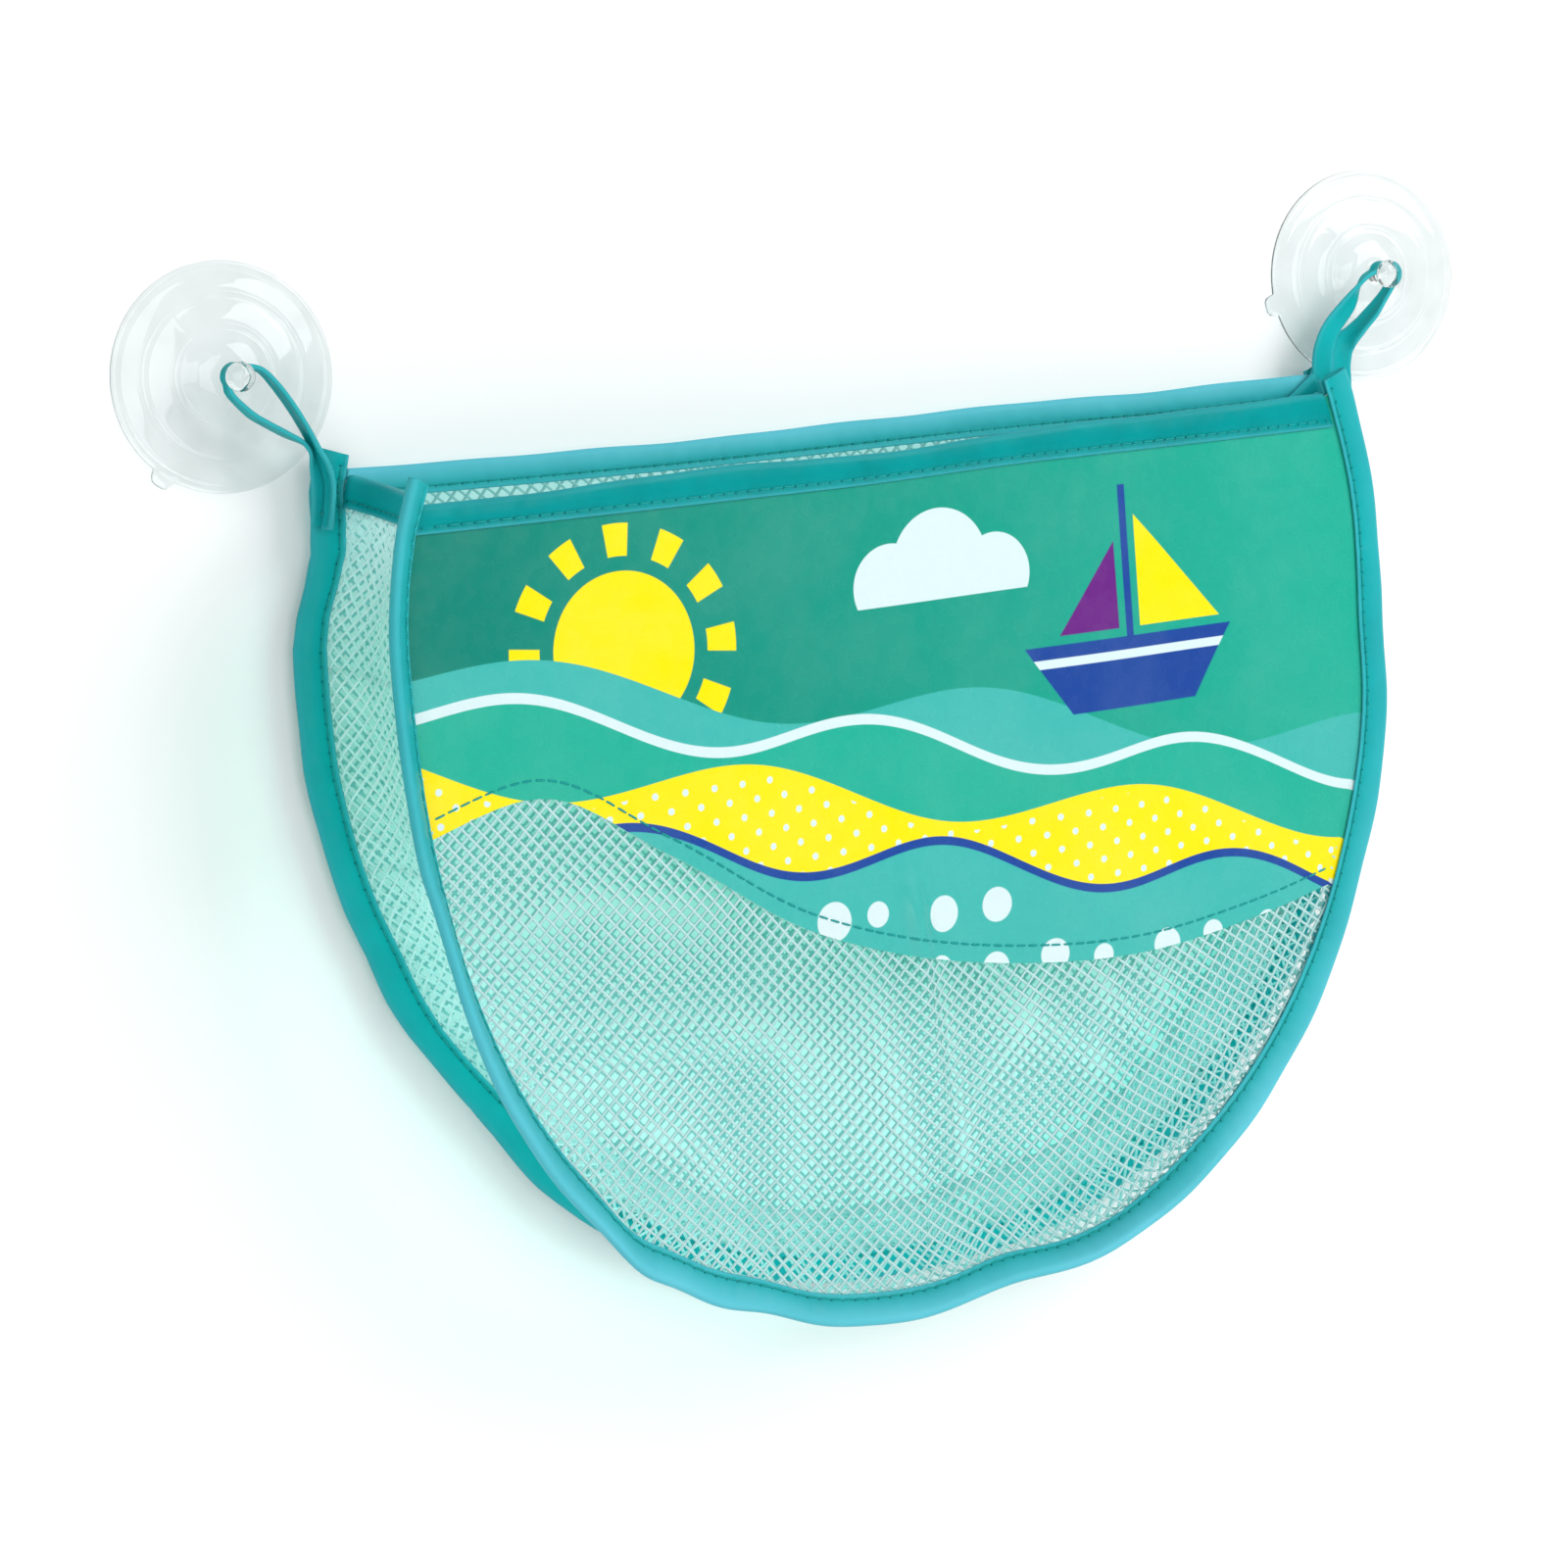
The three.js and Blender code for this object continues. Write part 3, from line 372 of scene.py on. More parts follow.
def tape_ring(half, stitch, pinch, width=BINDING_WIDTH):
    """Section of a puffed, folded tape, outside and inside: distance from its free edges, and height."""
    outer = np.array([
        (0.0, half - 0.55), (0.12, half - 0.2), (0.5, half - 0.12), (stitch - 0.9, half - 0.2),
        (stitch, half - pinch), (stitch + 0.9, half - 0.25), (stitch + 2.0, half - 0.02),
        (width * 0.55, half), (width * 0.78, half - 0.08), (width - 1.0, half - 0.3),
        (width - 0.45, half - 0.7), (width - 0.1, half - 1.25), (width, half - 1.6),
    ])
    inner = np.array([
        (width - TAPE - 0.2, 0.12), (width * 0.8, half - TAPE - 0.25), (stitch + 1.5, half - TAPE - 0.2),
        (stitch, half - TAPE - pinch), (0.0, half - TAPE - 0.2),
    ])
    outer[:, 1] = np.maximum(outer[:, 1], 0.12)
    inner[:, 1] = np.maximum(inner[:, 1], 0.06)
    down = (1, -1)
    return np.vstack([outer, (outer * down)[::-1], (inner * down)[::-1], inner])


def stitch_row(along, pitch=STITCH_PITCH):
    """Number and length of the stitches in a row from along[0] to along[1]."""
    count = max(int(round((along[1] - along[0]) / pitch)), 1)
    return count, (along[1] - along[0]) / count


def needle_phase(value, along):
    """Whole numbers where the needle went through, for a row of stitches from along[0] to along[1]."""
    return (value - along[0]) / stitch_row(along)[1]


def needle_pull(needle, p, stitch):
    """The tape is thinner round each hole."""
    hole = hump((needle - np.round(needle)) * STITCH_PITCH, 0, NEEDLE_REACH)
    return 1 - NEEDLE_DEPTH * hole * hump(p, stitch, 0.9)


# Place along one stitch, and its lift and thickness there
STITCH_FORM = np.array([
    (-0.5, -0.75, 0.6), (-0.4, -0.1, 0.95), (-0.2, 0.35, 1.0), (0.0, 0.45, 1.0), (0.2, 0.35, 1.0),
    (0.4, -0.1, 0.95), (0.5, -0.75, 0.6),
])


def stitches(along, place, normal, radius=THREAD_RADIUS, pitch=STITCH_PITCH):
    """Separate stitches from along[0] to along[1]; place(s) gives points, normal(s) the way out."""
    count, step = stitch_row(along, pitch)
    reach, lift, slim = STITCH_FORM.T
    middle = along[0] + (np.arange(count) + 0.5) * step
    s = middle[:, None] + reach * STITCH_SHARE * step + RNG.normal(0, 0.12, (count, 1))
    out = normal(s)
    centre = place(s) + out * (lift * radius)[:, None]
    tangent = unit(np.gradient(centre, axis=1))
    side = unit(np.cross(tangent, out))
    angle = np.arange(STITCH_SIDES) / STITCH_SIDES * 2 * math.pi
    ring = side[:, :, None] * np.cos(angle)[:, None] + out[:, :, None] * np.sin(angle)[:, None]
    points = centre[:, :, None] + ring * (slim * radius)[:, None, None]
    one = tube_faces(len(reach), STITCH_SIDES)
    faces = [face + len(reach) * STITCH_SIDES * k for k in range(count) for face in one]
    places = stacked(s[:, :, None], angle, 0.0)
    return points, faces, places


def strand_net(name, cells, mapped, inside, material, turn=NET_TURN, wanted=None):
    """A net of woven strands on a diagonal grid; cells are the low and high corner of the flat sheet."""
    (low_x, low_y), (high_x, high_y) = cells
    # Half the diagonal and a little more, in cells
    reach = int(math.hypot(high_x - low_x, high_y - low_y) / NET_PITCH / 1.9) + 2
    i, j = np.meshgrid(np.arange(-reach, reach + 1), np.arange(-reach, reach + 1), indexing="ij")
    cos, sin = math.cos(turn) * NET_PITCH, math.sin(turn) * NET_PITCH
    x = (low_x + high_x) / 2 + i * cos + j * sin
    y = (low_y + high_y) / 2 - i * sin + j * cos
    near = (x > low_x) & (x < high_x) & (y > low_y) & (y < high_y)
    keep = np.zeros(x.shape, bool)
    keep[near] = inside(x[near], y[near])
    at_x, at_y, step = x[keep], y[keep], 0.8
    ahead = mapped(at_x + step, at_y) - mapped(at_x - step, at_y)
    aside = mapped(at_x, at_y + step) - mapped(at_x, at_y - step)
    spot, out = np.zeros((*x.shape, 3)), np.zeros((*x.shape, 3))
    spot[keep], out[keep] = mapped(at_x, at_y), unit(np.cross(ahead, aside))
    weave = np.where((i + j) % 2 == 0, 1.0, -1.0)[..., None] * STRAND_WEAVE
    owner = wanted(x, y) if wanted else np.zeros(x.shape, int)
    groups = {}
    for axis, sign in ((0, 1), (1, -1)):
        core = spot + out * weave * sign
        before, after = np.roll(keep, 1, axis) & keep, np.roll(keep, -1, axis) & keep
        next_spot = np.where(after[..., None], np.roll(spot, -1, axis), spot)
        last_spot = np.where(before[..., None], np.roll(spot, 1, axis), spot)
        side = unit(np.cross(unit(next_spot - last_spot), out)) * STRAND_WIDTH / 2
        up = out * STRAND_HEIGHT / 2
        rings = np.stack([core + side * a + up * b for a, b in ((1, 1), (-1, 1), (-1, -1), (1, -1))], -2)
        a_index = np.argwhere(after)
        b_index = a_index.copy()
        b_index[:, axis] += 1
        for group in np.unique(owner[after]):
            mine = owner[tuple(a_index.T)] == group
            used, back_to = np.unique(np.vstack([a_index[mine], b_index[mine]]), axis=0, return_inverse=True)
            here, there = back_to.reshape(2, -1) * 4
            sides = [(k, (k + 1) % 4) for k in range(4)]
            faces = [np.column_stack([here + k, there + k, there + n, here + n]) for k, n in sides]
            faces.append(np.setdiff1d(here, there)[:, None] + np.array([0, 1, 2, 3]))
            faces.append(np.setdiff1d(there, here)[:, None] + np.array([3, 2, 1, 0]))
            used = tuple(used.T)
            flat = np.column_stack([x[used], y[used], np.full(len(used[0]), float(axis))])
            groups.setdefault(int(group), []).append((rings[used], np.vstack(faces), np.repeat(flat, 4, 0)))
    numbered = f"{name}.{{:02d}}" if wanted else name
    return [joined(numbered.format(group), parts, material) for group, parts in sorted(groups.items())]


# Colours and materials


def colour(red, green, blue, level=1.0):
    linear = [c / 255 / 12.92 if c <= 10 else ((c / 255 + 0.055) / 1.055) ** 2.4 for c in (red, green, blue)]
    return (*(c * level for c in linear), 1.0)


EXPOSED = 0.86
# The pale tape colour is for painted sheen and painted highlights; the hole colour is painted shade in the
# needle holes
TEAL, TEAL_SHEEN, TEAL_DARK, TEAL_HOLE_SHADE = (
    colour(*tone, EXPOSED) for tone in ((0, 172, 174), (104, 202, 220), (0, 140, 141), (0, 96, 96)))
THREAD_TONES = colour(0, 140, 138, EXPOSED), colour(34, 178, 175, EXPOSED)
# One net in copies painted for the light each part gets: painted shade on the back net, painted light on the
# gusset's left side, painted shade where the gusset folds in
MINT_FRONT = colour(211, 239, 239, EXPOSED), colour(174, 226, 225, EXPOSED)
MINT_BACK_SHADED = colour(166, 218, 217), colour(128, 199, 198)
MINT_SIDE_LIT = colour(242, 254, 254), colour(206, 244, 242)
MINT_FOLD_SHADED = colour(194, 233, 232), colour(154, 215, 213)
CLEAR_TONES = (0.9, 0.915, 0.91, 1.0), (0.83, 0.85, 0.845, 1.0)
WALL_TONES = (0.86, 0.865, 0.865, 1.0), (0.88, 0.885, 0.885, 1.0)
PRINT = {ink: colour(*tone, EXPOSED) for ink, tone in (
    ("dark", (0, 130, 114)), ("green", (31, 177, 152)), ("aqua", (64, 184, 176)), ("yellow", (255, 232, 0)),
    ("navy", (26, 71, 155)), ("purple", (106, 31, 132)), ("pale", (217, 238, 240)),
    ("back", (232, 243, 241)),
)}
# What lamp light turns into behind a surface
NET_SHADE, PRINT_SHADE, TAPE_SHADE = colour(208, 248, 244), colour(138, 214, 198), colour(244, 254, 254)
CLEAR_SHADE = (0.92, 0.95, 0.95, 1.0)


class Field:
    """A number that varies over a surface, held by shader nodes."""

    def __init__(self, surface, socket):
        self.surface, self.socket = surface, socket

    def made(self, operation, *others):
        node = self.surface.node("Math", enumerate((self, *others)), operation=operation)
        return Field(self.surface, node.outputs[0])

    __add__, __sub__ = partialmethod(made, "ADD"), partialmethod(made, "SUBTRACT")
    __mul__, __truediv__ = partialmethod(made, "MULTIPLY"), partialmethod(made, "DIVIDE")
    less, more = partialmethod(made, "MINIMUM"), partialmethod(made, "MAXIMUM")
    sin, cos = partialmethod(made, "SINE"), partialmethod(made, "COSINE")
    __abs__ = partialmethod(made, "ABSOLUTE")

    def __neg__(self):
        return self * -1.0

    def between(self, low, high, to_low=0.0, to_high=1.0):
        ends = {"From Min": low, "From Max": high, "To Min": to_low, "To Max": to_high}
        return Field(self.surface, self.surface.node("MapRange", {"Value": self, **ends}).outputs[0])

    def inside(self, softness=0.15):
        """1 where the number is below zero, 0 above, with a thin soft edge."""
        return self.between(softness, -softness)


class Surface:
    """A node material with one Principled shader and helpers for its patterns."""

    def __init__(self, name, **sockets):
        self.material = bpy.data.materials.new(name)
        self.material.use_nodes = True
        self.tree = self.material.node_tree
        self.principled = self.tree.nodes["Principled BSDF"]
        self.shader = self.principled.outputs[0]
        self.looks(**sockets)
        self.coordinates = self.node("TexCoord").outputs["Object"]

    def fill(self, node, inputs):
        """Set a node's inputs, by name or number, to a value or link them to a socket."""
        for slot, value in dict(inputs).items():
            value = value.socket if isinstance(value, Field) else value
            if isinstance(value, bpy.types.NodeSocket):
                self.tree.links.new(value, node.inputs[slot])
            else:
                node.inputs[slot].default_value = value

    def node(self, kind, inputs=(), **settings):
        made = self.tree.nodes.new("ShaderNode" + kind)
        for setting, value in settings.items():
            setattr(made, setting, value)
        self.fill(made, inputs)
        return made

    def looks(self, **sockets):
        self.fill(self.principled, {socket.replace("_", " "): value for socket, value in sockets.items()})

    def place(self):
        """The surface's own coordinates."""
        vector = self.node("Attribute", attribute_name="place").outputs["Vector"]
        return [Field(self, socket) for socket in self.node("SeparateXYZ", {0: vector}).outputs]

    def noise(self, scale, detail=2.0):
        made = self.node("TexNoise", {"Scale": scale, "Detail": detail, "Vector": self.coordinates})
        return Field(self, made.outputs["Fac"])

    def grain(self, scale, detail, low, high):
        return self.noise(scale, detail).between(0.3, 0.7, low, high)

    def voronoi(self, x, y, scale, randomness):
        """Distance to the nearest spot, a random number for that spot, and its place."""
        vector = self.node("CombineXYZ", {0: x, 1: y}).outputs[0]
        inputs = {"Scale": scale, "Randomness": randomness, "Vector": vector}
        made = self.node("TexVoronoi", inputs, voronoi_dimensions="2D")
        random = self.node("SeparateColor", {0: made.outputs["Color"]}).outputs[0]
        middle = self.node("SeparateXYZ", {0: made.outputs["Position"]}).outputs[:2]
        return [Field(self, socket) for socket in (made.outputs["Distance"], random, *middle)]

    def mixed(self, share, first, second):
        made = self.node("Mix", {"Factor": share}, data_type="RGBA")
        slots = [k for k, slot in enumerate(made.inputs) if slot.type == "RGBA"]
        self.fill(made, zip(slots, (first, second)))
        return next(socket for socket in made.outputs if socket.type == "RGBA")

    def both(self, share, first, second):
        """A mix of two shaders, which becomes what the surface shows."""
        self.shader = self.node("MixShader", {0: share, 1: first, 2: second}).outputs[0]
        self.fill(self.tree.nodes["Material Output"], {"Surface": self.shader})

    def lets_lamps_through(self, tint):
        """Light that passes the surface takes on the tint."""
        clear = self.node("BsdfTransparent", {"Color": tint}).outputs[0]
        self.both(self.node("LightPath").outputs["Is Shadow Ray"], self.shader, clear)

    def bump(self, height, strength, distance):
        made = self.node("Bump", {"Strength": strength, "Distance": distance, "Height": height})
        self.looks(Normal=made.outputs[0])


def binding_material(name, ends, middle, deep, passes=None):
    """Satin tape with painted light; ends and middle are the shares of painted pale sheen at a seam's ends
    and halfway along it, deep the share of painted shade.
    """
    made = Surface(name, Specular_IOR_Level=0.05, Coat_Weight=0.03, Coat_Roughness=0.2)
    along, across, needle = made.place()
    # A random tone between TEAL and TEAL_DARK; deep shifts it darker as painted shade
    shade = made.mixed(made.noise(55.0, 3.0).between(0.35, 0.7, deep, deep + 0.3), TEAL, TEAL_DARK)
    # Painted sheen: a pale reflection painted along the seam, stronger towards the tape's fold
    rise = along.between(0.1 * SEAM_LENGTH, 0.34 * SEAM_LENGTH, ends, middle)
    painted_sheen = rise + along.between(0.66 * SEAM_LENGTH, 0.86 * SEAM_LENGTH, 0.0, ends - middle)
    painted_sheen = painted_sheen * across.between(2.5, 10.0, 0.35, 1.3) * made.grain(22.0, 1.0, 0.8, 1.1)
    # Painted highlights: a pale line along the tape's outer fold and along its cut free edge
    fold_highlight = across.between(BINDING_WIDTH - 2.2, BINDING_WIDTH - 0.3, 0.0, 0.2)
    cut_edge_highlight = (across - 1.0).inside(0.4) * 0.25
    for share in (painted_sheen, fold_highlight, cut_edge_highlight):
        shade = made.mixed(share, shade, TEAL_SHEEN)
    # Painted shade: a dark dot at each needle hole in the stitch row
    in_row = (abs(across - 2.25) - 0.45).inside(0.25)
    hole = (needle * (2 * math.pi)).cos().between(0.75, 0.95, 0.0, 0.7) * in_row
    made.looks(Base_Color=made.mixed(hole, shade, TEAL_HOLE_SHADE), Roughness=made.grain(300.0, 3.0, 0.3, 0.45))
    made.bump(made.noise(1500.0) * 0.6 + made.noise(260.0), 0.1, 0.0003)
    if passes:
        made.lets_lamps_through(passes)
    return made.material


def net_material(name, tones, glow_share, far=None):
    """Net; glow_share is the light that passes a strand, far the darker tones of painted shade on a strip
    past its first bend.
    """
    made = Surface(name, Specular_IOR_Level=0.45)
    x, y, family = made.place()
    deep = made.grain(40.0, 2.0, 0.0, 0.35) + family * 0.25
    shade = made.mixed(deep, *tones)
    if far:
        # Painted shade: along the seam the strip turns from its own tones to the darker far tones
        shade = made.mixed(x.between(0.2 * SEAM_LENGTH, 0.5 * SEAM_LENGTH), shade, made.mixed(deep, *far))
    made.looks(Base_Color=shade, Roughness=made.grain(900.0, 1.0, 0.32, 0.55))
    made.bump(((x + y) * 5.2).sin() * 0.5 + made.noise(2400.0, 1.0), 0.3, 0.00012)
    made.both(glow_share, made.shader, made.node("BsdfTranslucent", {"Color": shade}).outputs[0])
    made.lets_lamps_through(NET_SHADE)
    return made.material


def thread_material():
    made = Surface("thread", Specular_IOR_Level=0.2)
    along, around, _ = made.place()
    ply = (along * 7.0 + around * 2.0).sin()
    shade = made.mixed(ply.between(-1.0, 1.0), *THREAD_TONES)
    made.looks(Base_Color=shade, Roughness=made.grain(1800.0, 1.0, 0.45, 0.7))
    made.bump(ply, 0.5, 0.00015)
    return made.material


def clear_material():
    made = Surface("clear_pvc", Transmission_Weight=1.0, IOR=1.38, Specular_IOR_Level=0.5)
    haze = made.noise(90.0, 3.0).between(0.4, 0.75)
    smears = made.noise(220.0).between(0.35, 0.75, 0.02, 0.1)
    made.looks(Base_Color=made.mixed(haze, *CLEAR_TONES), Roughness=smears)
    made.bump(made.noise(120.0), 0.08, 0.0004)
    made.lets_lamps_through(CLEAR_SHADE)
    return made.material


# The print: a sun, a cloud and a little boat over rolling waves, in plain shapes
WAVE_SLOPE = 0.17
SUN, SUN_RADIUS, SUN_RAYS = (-112.0, -56.0), 26.0, (31.0, 42.0)
CLOUD, CLOUD_BASE = ((-8.0, -47.0, 15.0), (12.0, -41.0, 19.0), (34.0, -47.0, 14.0)), -53.0
BOAT = (88.0, -74.0)
FOAM, SAND, DEEP = (7.0, 21.0, 2.4), (8.0, 25.0, 4.2), (7.0, 19.0, 1.1)


def print_material():
    made = Surface("printed_pvc", Specular_IOR_Level=0.25, Coat_Weight=0.1, Coat_Roughness=0.12)
    u, v, layer = made.place()

    def wave(base, swing, length, phase, at_u=u, at_v=v):
        return (at_v + at_u * WAVE_SLOPE - (at_u / length + phase).sin() * swing - base).inside()

    def disc(cu, cv, radius):
        du, dv = u - cu, v - cv
        return (du * du + dv * dv).made("SQRT") - radius

    ray = ((v - SUN[1]).made("ARCTAN2", u - SUN[0]) * 12.0).cos()
    rays = (-ray + 0.2).inside(0.06) * disc(*SUN, SUN_RAYS[1]).inside() * (-disc(*SUN, SUN_RAYS[0])).inside()
    left, middle, right = (disc(*puff) for puff in CLOUD)
    cloud = left.less(middle).less(right).more(-(v - CLOUD_BASE))
    bu, bv = u - BOAT[0], v - BOAT[1]
    mast = (abs(bu) - 1.5).more(bv - 52.0).more(-(bv + 6.0))
    sail = (bu / 42.0 + bv / 46.0 - 1.0).more(-(bu - 4.5) * 0.03).more(-(bv - 3.0) * 0.03)
    jib = (bv / 38.0 - bu / 32.0 - 1.0).more((bu + 4.5) * 0.03).more(-(bv - 3.0) * 0.03)
    hull = (abs(bu) - bv * 0.75 - 44.0).more(bv).more(-(bv + 24.0))
    stripe = hull.more(abs(bv + 6.0) - 1.5)
    dot = made.voronoi(u + v, u - v, 1 / 11.0, 0.0)[0]
    spot, size, *spot_place = made.voronoi(u, v, 1 / 23.0, 0.4)
    bubbles = (spot - (size * 0.16 + 0.15)).inside(0.008) * wave(-151.0, *DEEP, *spot_place)
    shade = made.mixed(u.between(-190.0, 190.0), PRINT["dark"], PRINT["green"])
    for share, ink in (
        (rays, "yellow"), (disc(*SUN, SUN_RADIUS).inside(), "yellow"), (cloud.inside(), "pale"),
        (wave(-88.0, 8.0, 27.0, 0.5), "aqua"), (mast.inside(), "navy"), (sail.inside(0.004), "yellow"),
        (jib.inside(0.004), "purple"), (hull.inside(), "navy"), (stripe.inside(), "pale"),
        (wave(-98.0, *FOAM), "pale"), (wave(-101.5, *FOAM), "green"), (wave(-118.0, *SAND), "yellow"),
        ((dot - 0.15).inside(0.02) * wave(-121.0, *SAND), "pale"), (wave(-138.0, *DEEP), "navy"),
        (wave(-141.0, *DEEP), "aqua"), (bubbles, "pale"),
        (made.noise(30.0, 3.0).between(0.4, 0.8, 0.0, 0.035), "pale"), (layer, "back"),
    ):
        shade = made.mixed(share, shade, PRINT[ink])
    made.looks(Base_Color=shade, Roughness=made.grain(180.0, 3.0, 0.2, 0.34))
    made.bump(made.noise(90.0) + (u * 9.0).sin() * (v * 9.0).sin() * 0.06, 0.12, 0.0006)
    made.lets_lamps_through(PRINT_SHADE)
    return made.material


def wall_material():
    """A pale wall that can be looked through from behind."""
    made = Surface("studio_wall", Roughness=0.9, Specular_IOR_Level=0.1)
    made.looks(Base_Color=made.mixed(made.grain(2.0, 2.0, 0.0, 1.0), *WALL_TONES))
    behind = made.node("NewGeometry").outputs["Backfacing"]
    made.both(behind, made.shader, made.node("BsdfTransparent").outputs[0])
    return made.material


# One tape in copies with painted light: faint painted sheen on the plain tape, painted shade on the front top
# tape, painted sheen growing towards the bottom of the front edge, pale painted sheen on the back top
PLAIN_TAPE = binding_material("teal_pvc", ends=0.06, middle=0.06, deep=0.0)
FRONT_TOP_TAPE = binding_material("teal_pvc_front_top", ends=0.0, middle=0.0, deep=0.7)
FRONT_EDGE_TAPE = binding_material("teal_pvc_front_edge", ends=0.18, middle=0.66, deep=0.1)
BACK_TOP_TAPE = binding_material("teal_pvc_back_top", ends=0.65, middle=0.65, deep=0.0, passes=TAPE_SHADE)
THREAD, CLEAR, PRINTED = thread_material(), clear_material(), print_material()
# The same net with painted light: the back darker as painted shade, the gusset lighter on its left and darker
# past its first bend
FRONT_NET = net_material("mesh_net_front", MINT_FRONT, glow_share=0.2)
BACK_NET = net_material("mesh_net_back", MINT_BACK_SHADED, glow_share=0.4)
SIDE_NET = net_material("mesh_net_side", MINT_SIDE_LIT, glow_share=0.52, far=MINT_FOLD_SHADED)


def finished(made, body, node):
    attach(made, body)
    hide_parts(node)
    return made


# Suction cups

CUP_TURNS = 240
MOULD_LINE = 128


def rounded(points, times):
    """Cut the corners of a line, keeping its ends."""
    for _ in range(times):
        near, far = points[:-1] * 0.78 + points[1:] * 0.22, points[:-1] * 0.22 + points[1:] * 0.78
        points = np.vstack([points[:1], np.stack([near, far], 1).reshape(-1, 2)[1:-1], points[-1:]])
    return points


def cup_profile():
    """Radius and height, from the middle of the underside round the rim to the top of the knob."""
    def ring(radius, height):
        return [(radius + RING_WIDTH, height - 2 * RING_STEP), (radius + RING_WIDTH * 0.6, height),
                (radius - RING_WIDTH * 0.6, height), (radius - RING_WIDTH, height - RING_STEP)]

    neck_top = DOME_HEIGHT + NECK_LENGTH
    head_top = neck_top + HEAD_HEIGHT
    line = [
        (0.01, CUP_HOLLOW), (CUP_RADIUS * 0.5, CUP_HOLLOW * 0.62), (CUP_RADIUS - CUP_LAND, 0.1),
        (CUP_RADIUS - 0.5, 0.0), (CUP_RADIUS, 0.7), (CUP_RADIUS, RIM_HEIGHT - 0.6),
        (CUP_RADIUS - 0.7, RIM_HEIGHT), (CUP_RADIUS - RIM_BEAD, RIM_HEIGHT),
        (CUP_RADIUS - RIM_BEAD - 0.5, WEB_HEIGHT),
        *ring(*OUTER_RING), *ring(*INNER_RING),
        (12.4, 7.6), (9.6, 8.7), (COLLAR_RADIUS + 0.4, DOME_HEIGHT),
        (NECK_RADIUS + 0.9, DOME_HEIGHT + 0.05), (NECK_RADIUS, DOME_HEIGHT + 0.9),
        (NECK_RADIUS, neck_top - 0.8), (NECK_RADIUS + 0.7, neck_top),
        (HEAD_RADIUS - HEAD_ROUND * 0.6, neck_top), (HEAD_RADIUS, neck_top + HEAD_ROUND),
        (HEAD_RADIUS - 0.3, head_top - 1.8), (HEAD_RADIUS - 1.6, head_top - 0.45), (0.01, head_top),
    ]
    return rounded(np.array(line), 2)


def suction_cup(word, side, tab_angle):
    angle = np.arange(CUP_TURNS) / CUP_TURNS * 2 * math.pi
    from_angle = lambda degrees: (angle - math.radians(degrees) + math.pi) % (2 * math.pi) - math.pi
    radius, height = (np.repeat(column[:, None], CUP_TURNS, 1) for column in cup_profile().T)
    away = np.abs(from_angle(tab_angle)) * CUP_RADIUS
    tongue = np.clip(1 - (away / TAB_HALF_WIDTH) ** 4, 0, 1) ** 0.5
    outer = smooth(CUP_RADIUS - 3.0, CUP_RADIUS - 0.2, radius)
    height = height - 0.5 * outer * tongue * (height > 1.2)
    radius = radius + TAB_REACH * outer * tongue
    mould = hump(from_angle(MOULD_LINE), 0, 1 / 60) * smooth(5, 8, radius) * (1 - smooth(24, 30, radius))
    height = height + 0.16 * mould * (height > 3)
    rings = stacked(side * CUP_X + radius * np.cos(angle), -height, radius * np.sin(angle))
    places = stacked(radius, angle, height)
    made = swept(f"{word}_clear_cup", rings, CLEAR, places)
    made.visible_diffuse = False
    finished(made, "wall_cups", f"{word}_suction_cup")


suction_cup("left", -1, LEFT_TAB_ANGLE)
suction_cup("right", 1, RIGHT_TAB_ANGLE)


# Nets of the two panels


def panel_net(panel, setback):
    """Where a point of a panel's net lies: on the panel, or past the seam in the binding."""
    def mapped(u, v):
        beyond, s = seam_distance(u, v)
        flat = panel.place(u, v, panel.billow(u, v) - setback * smooth(0, 14, -beyond))
        turned_out = panel.on_flange(s, np.maximum(beyond, 0), 0.0)
        return np.where((beyond > 0)[..., None], turned_out, flat)

    return mapped


def in_back(u, v):
    return (seam_distance(u, v)[0] < NET_LIP) & (v < -NET_TOP_GAP)


def in_front(u, v):
    return (seam_distance(u, v)[0] < NET_LIP) & (v < hem_height(u) + HEM_OVERLAP)


def front_grain(x, y):
    """Where a point of the flat net lies in the front panel: its cells turn towards the right side."""
    turn = lambda at: np.sin(GRAIN_TURN * smooth(-70, 110, at))
    steps = np.linspace(-260, 260, 521)
    rise = np.concatenate([[0], np.cumsum(turn(steps[:-1] + 0.5))])
    return x - (y + GRAIN_LEVEL) * turn(x), y + np.interp(x, steps, rise) - np.interp(0, steps, rise)


def net_box(spare, top):
    return (-HALF_WIDTH - spare, -PANEL_HEIGHT - spare), (HALF_WIDTH + spare, top)


front_surface = panel_net(FRONT, NET_SETBACK)
(back_net,) = strand_net("back_mesh", net_box(8, 0), panel_net(BACK, 0.0), in_back, BACK_NET)
finished(back_net, "bag_back", "back_net")
(front_net,) = strand_net("front_mesh", net_box(60, 60), lambda x, y: front_surface(*front_grain(x, y)),
                          lambda x, y: in_front(*front_grain(x, y)), FRONT_NET)
finished(front_net, "bag_front", "front_net")


# Printed sheet

SHEET_COLUMNS, SHEET_ROWS, FIT_ROUNDS = 261, 161, 12


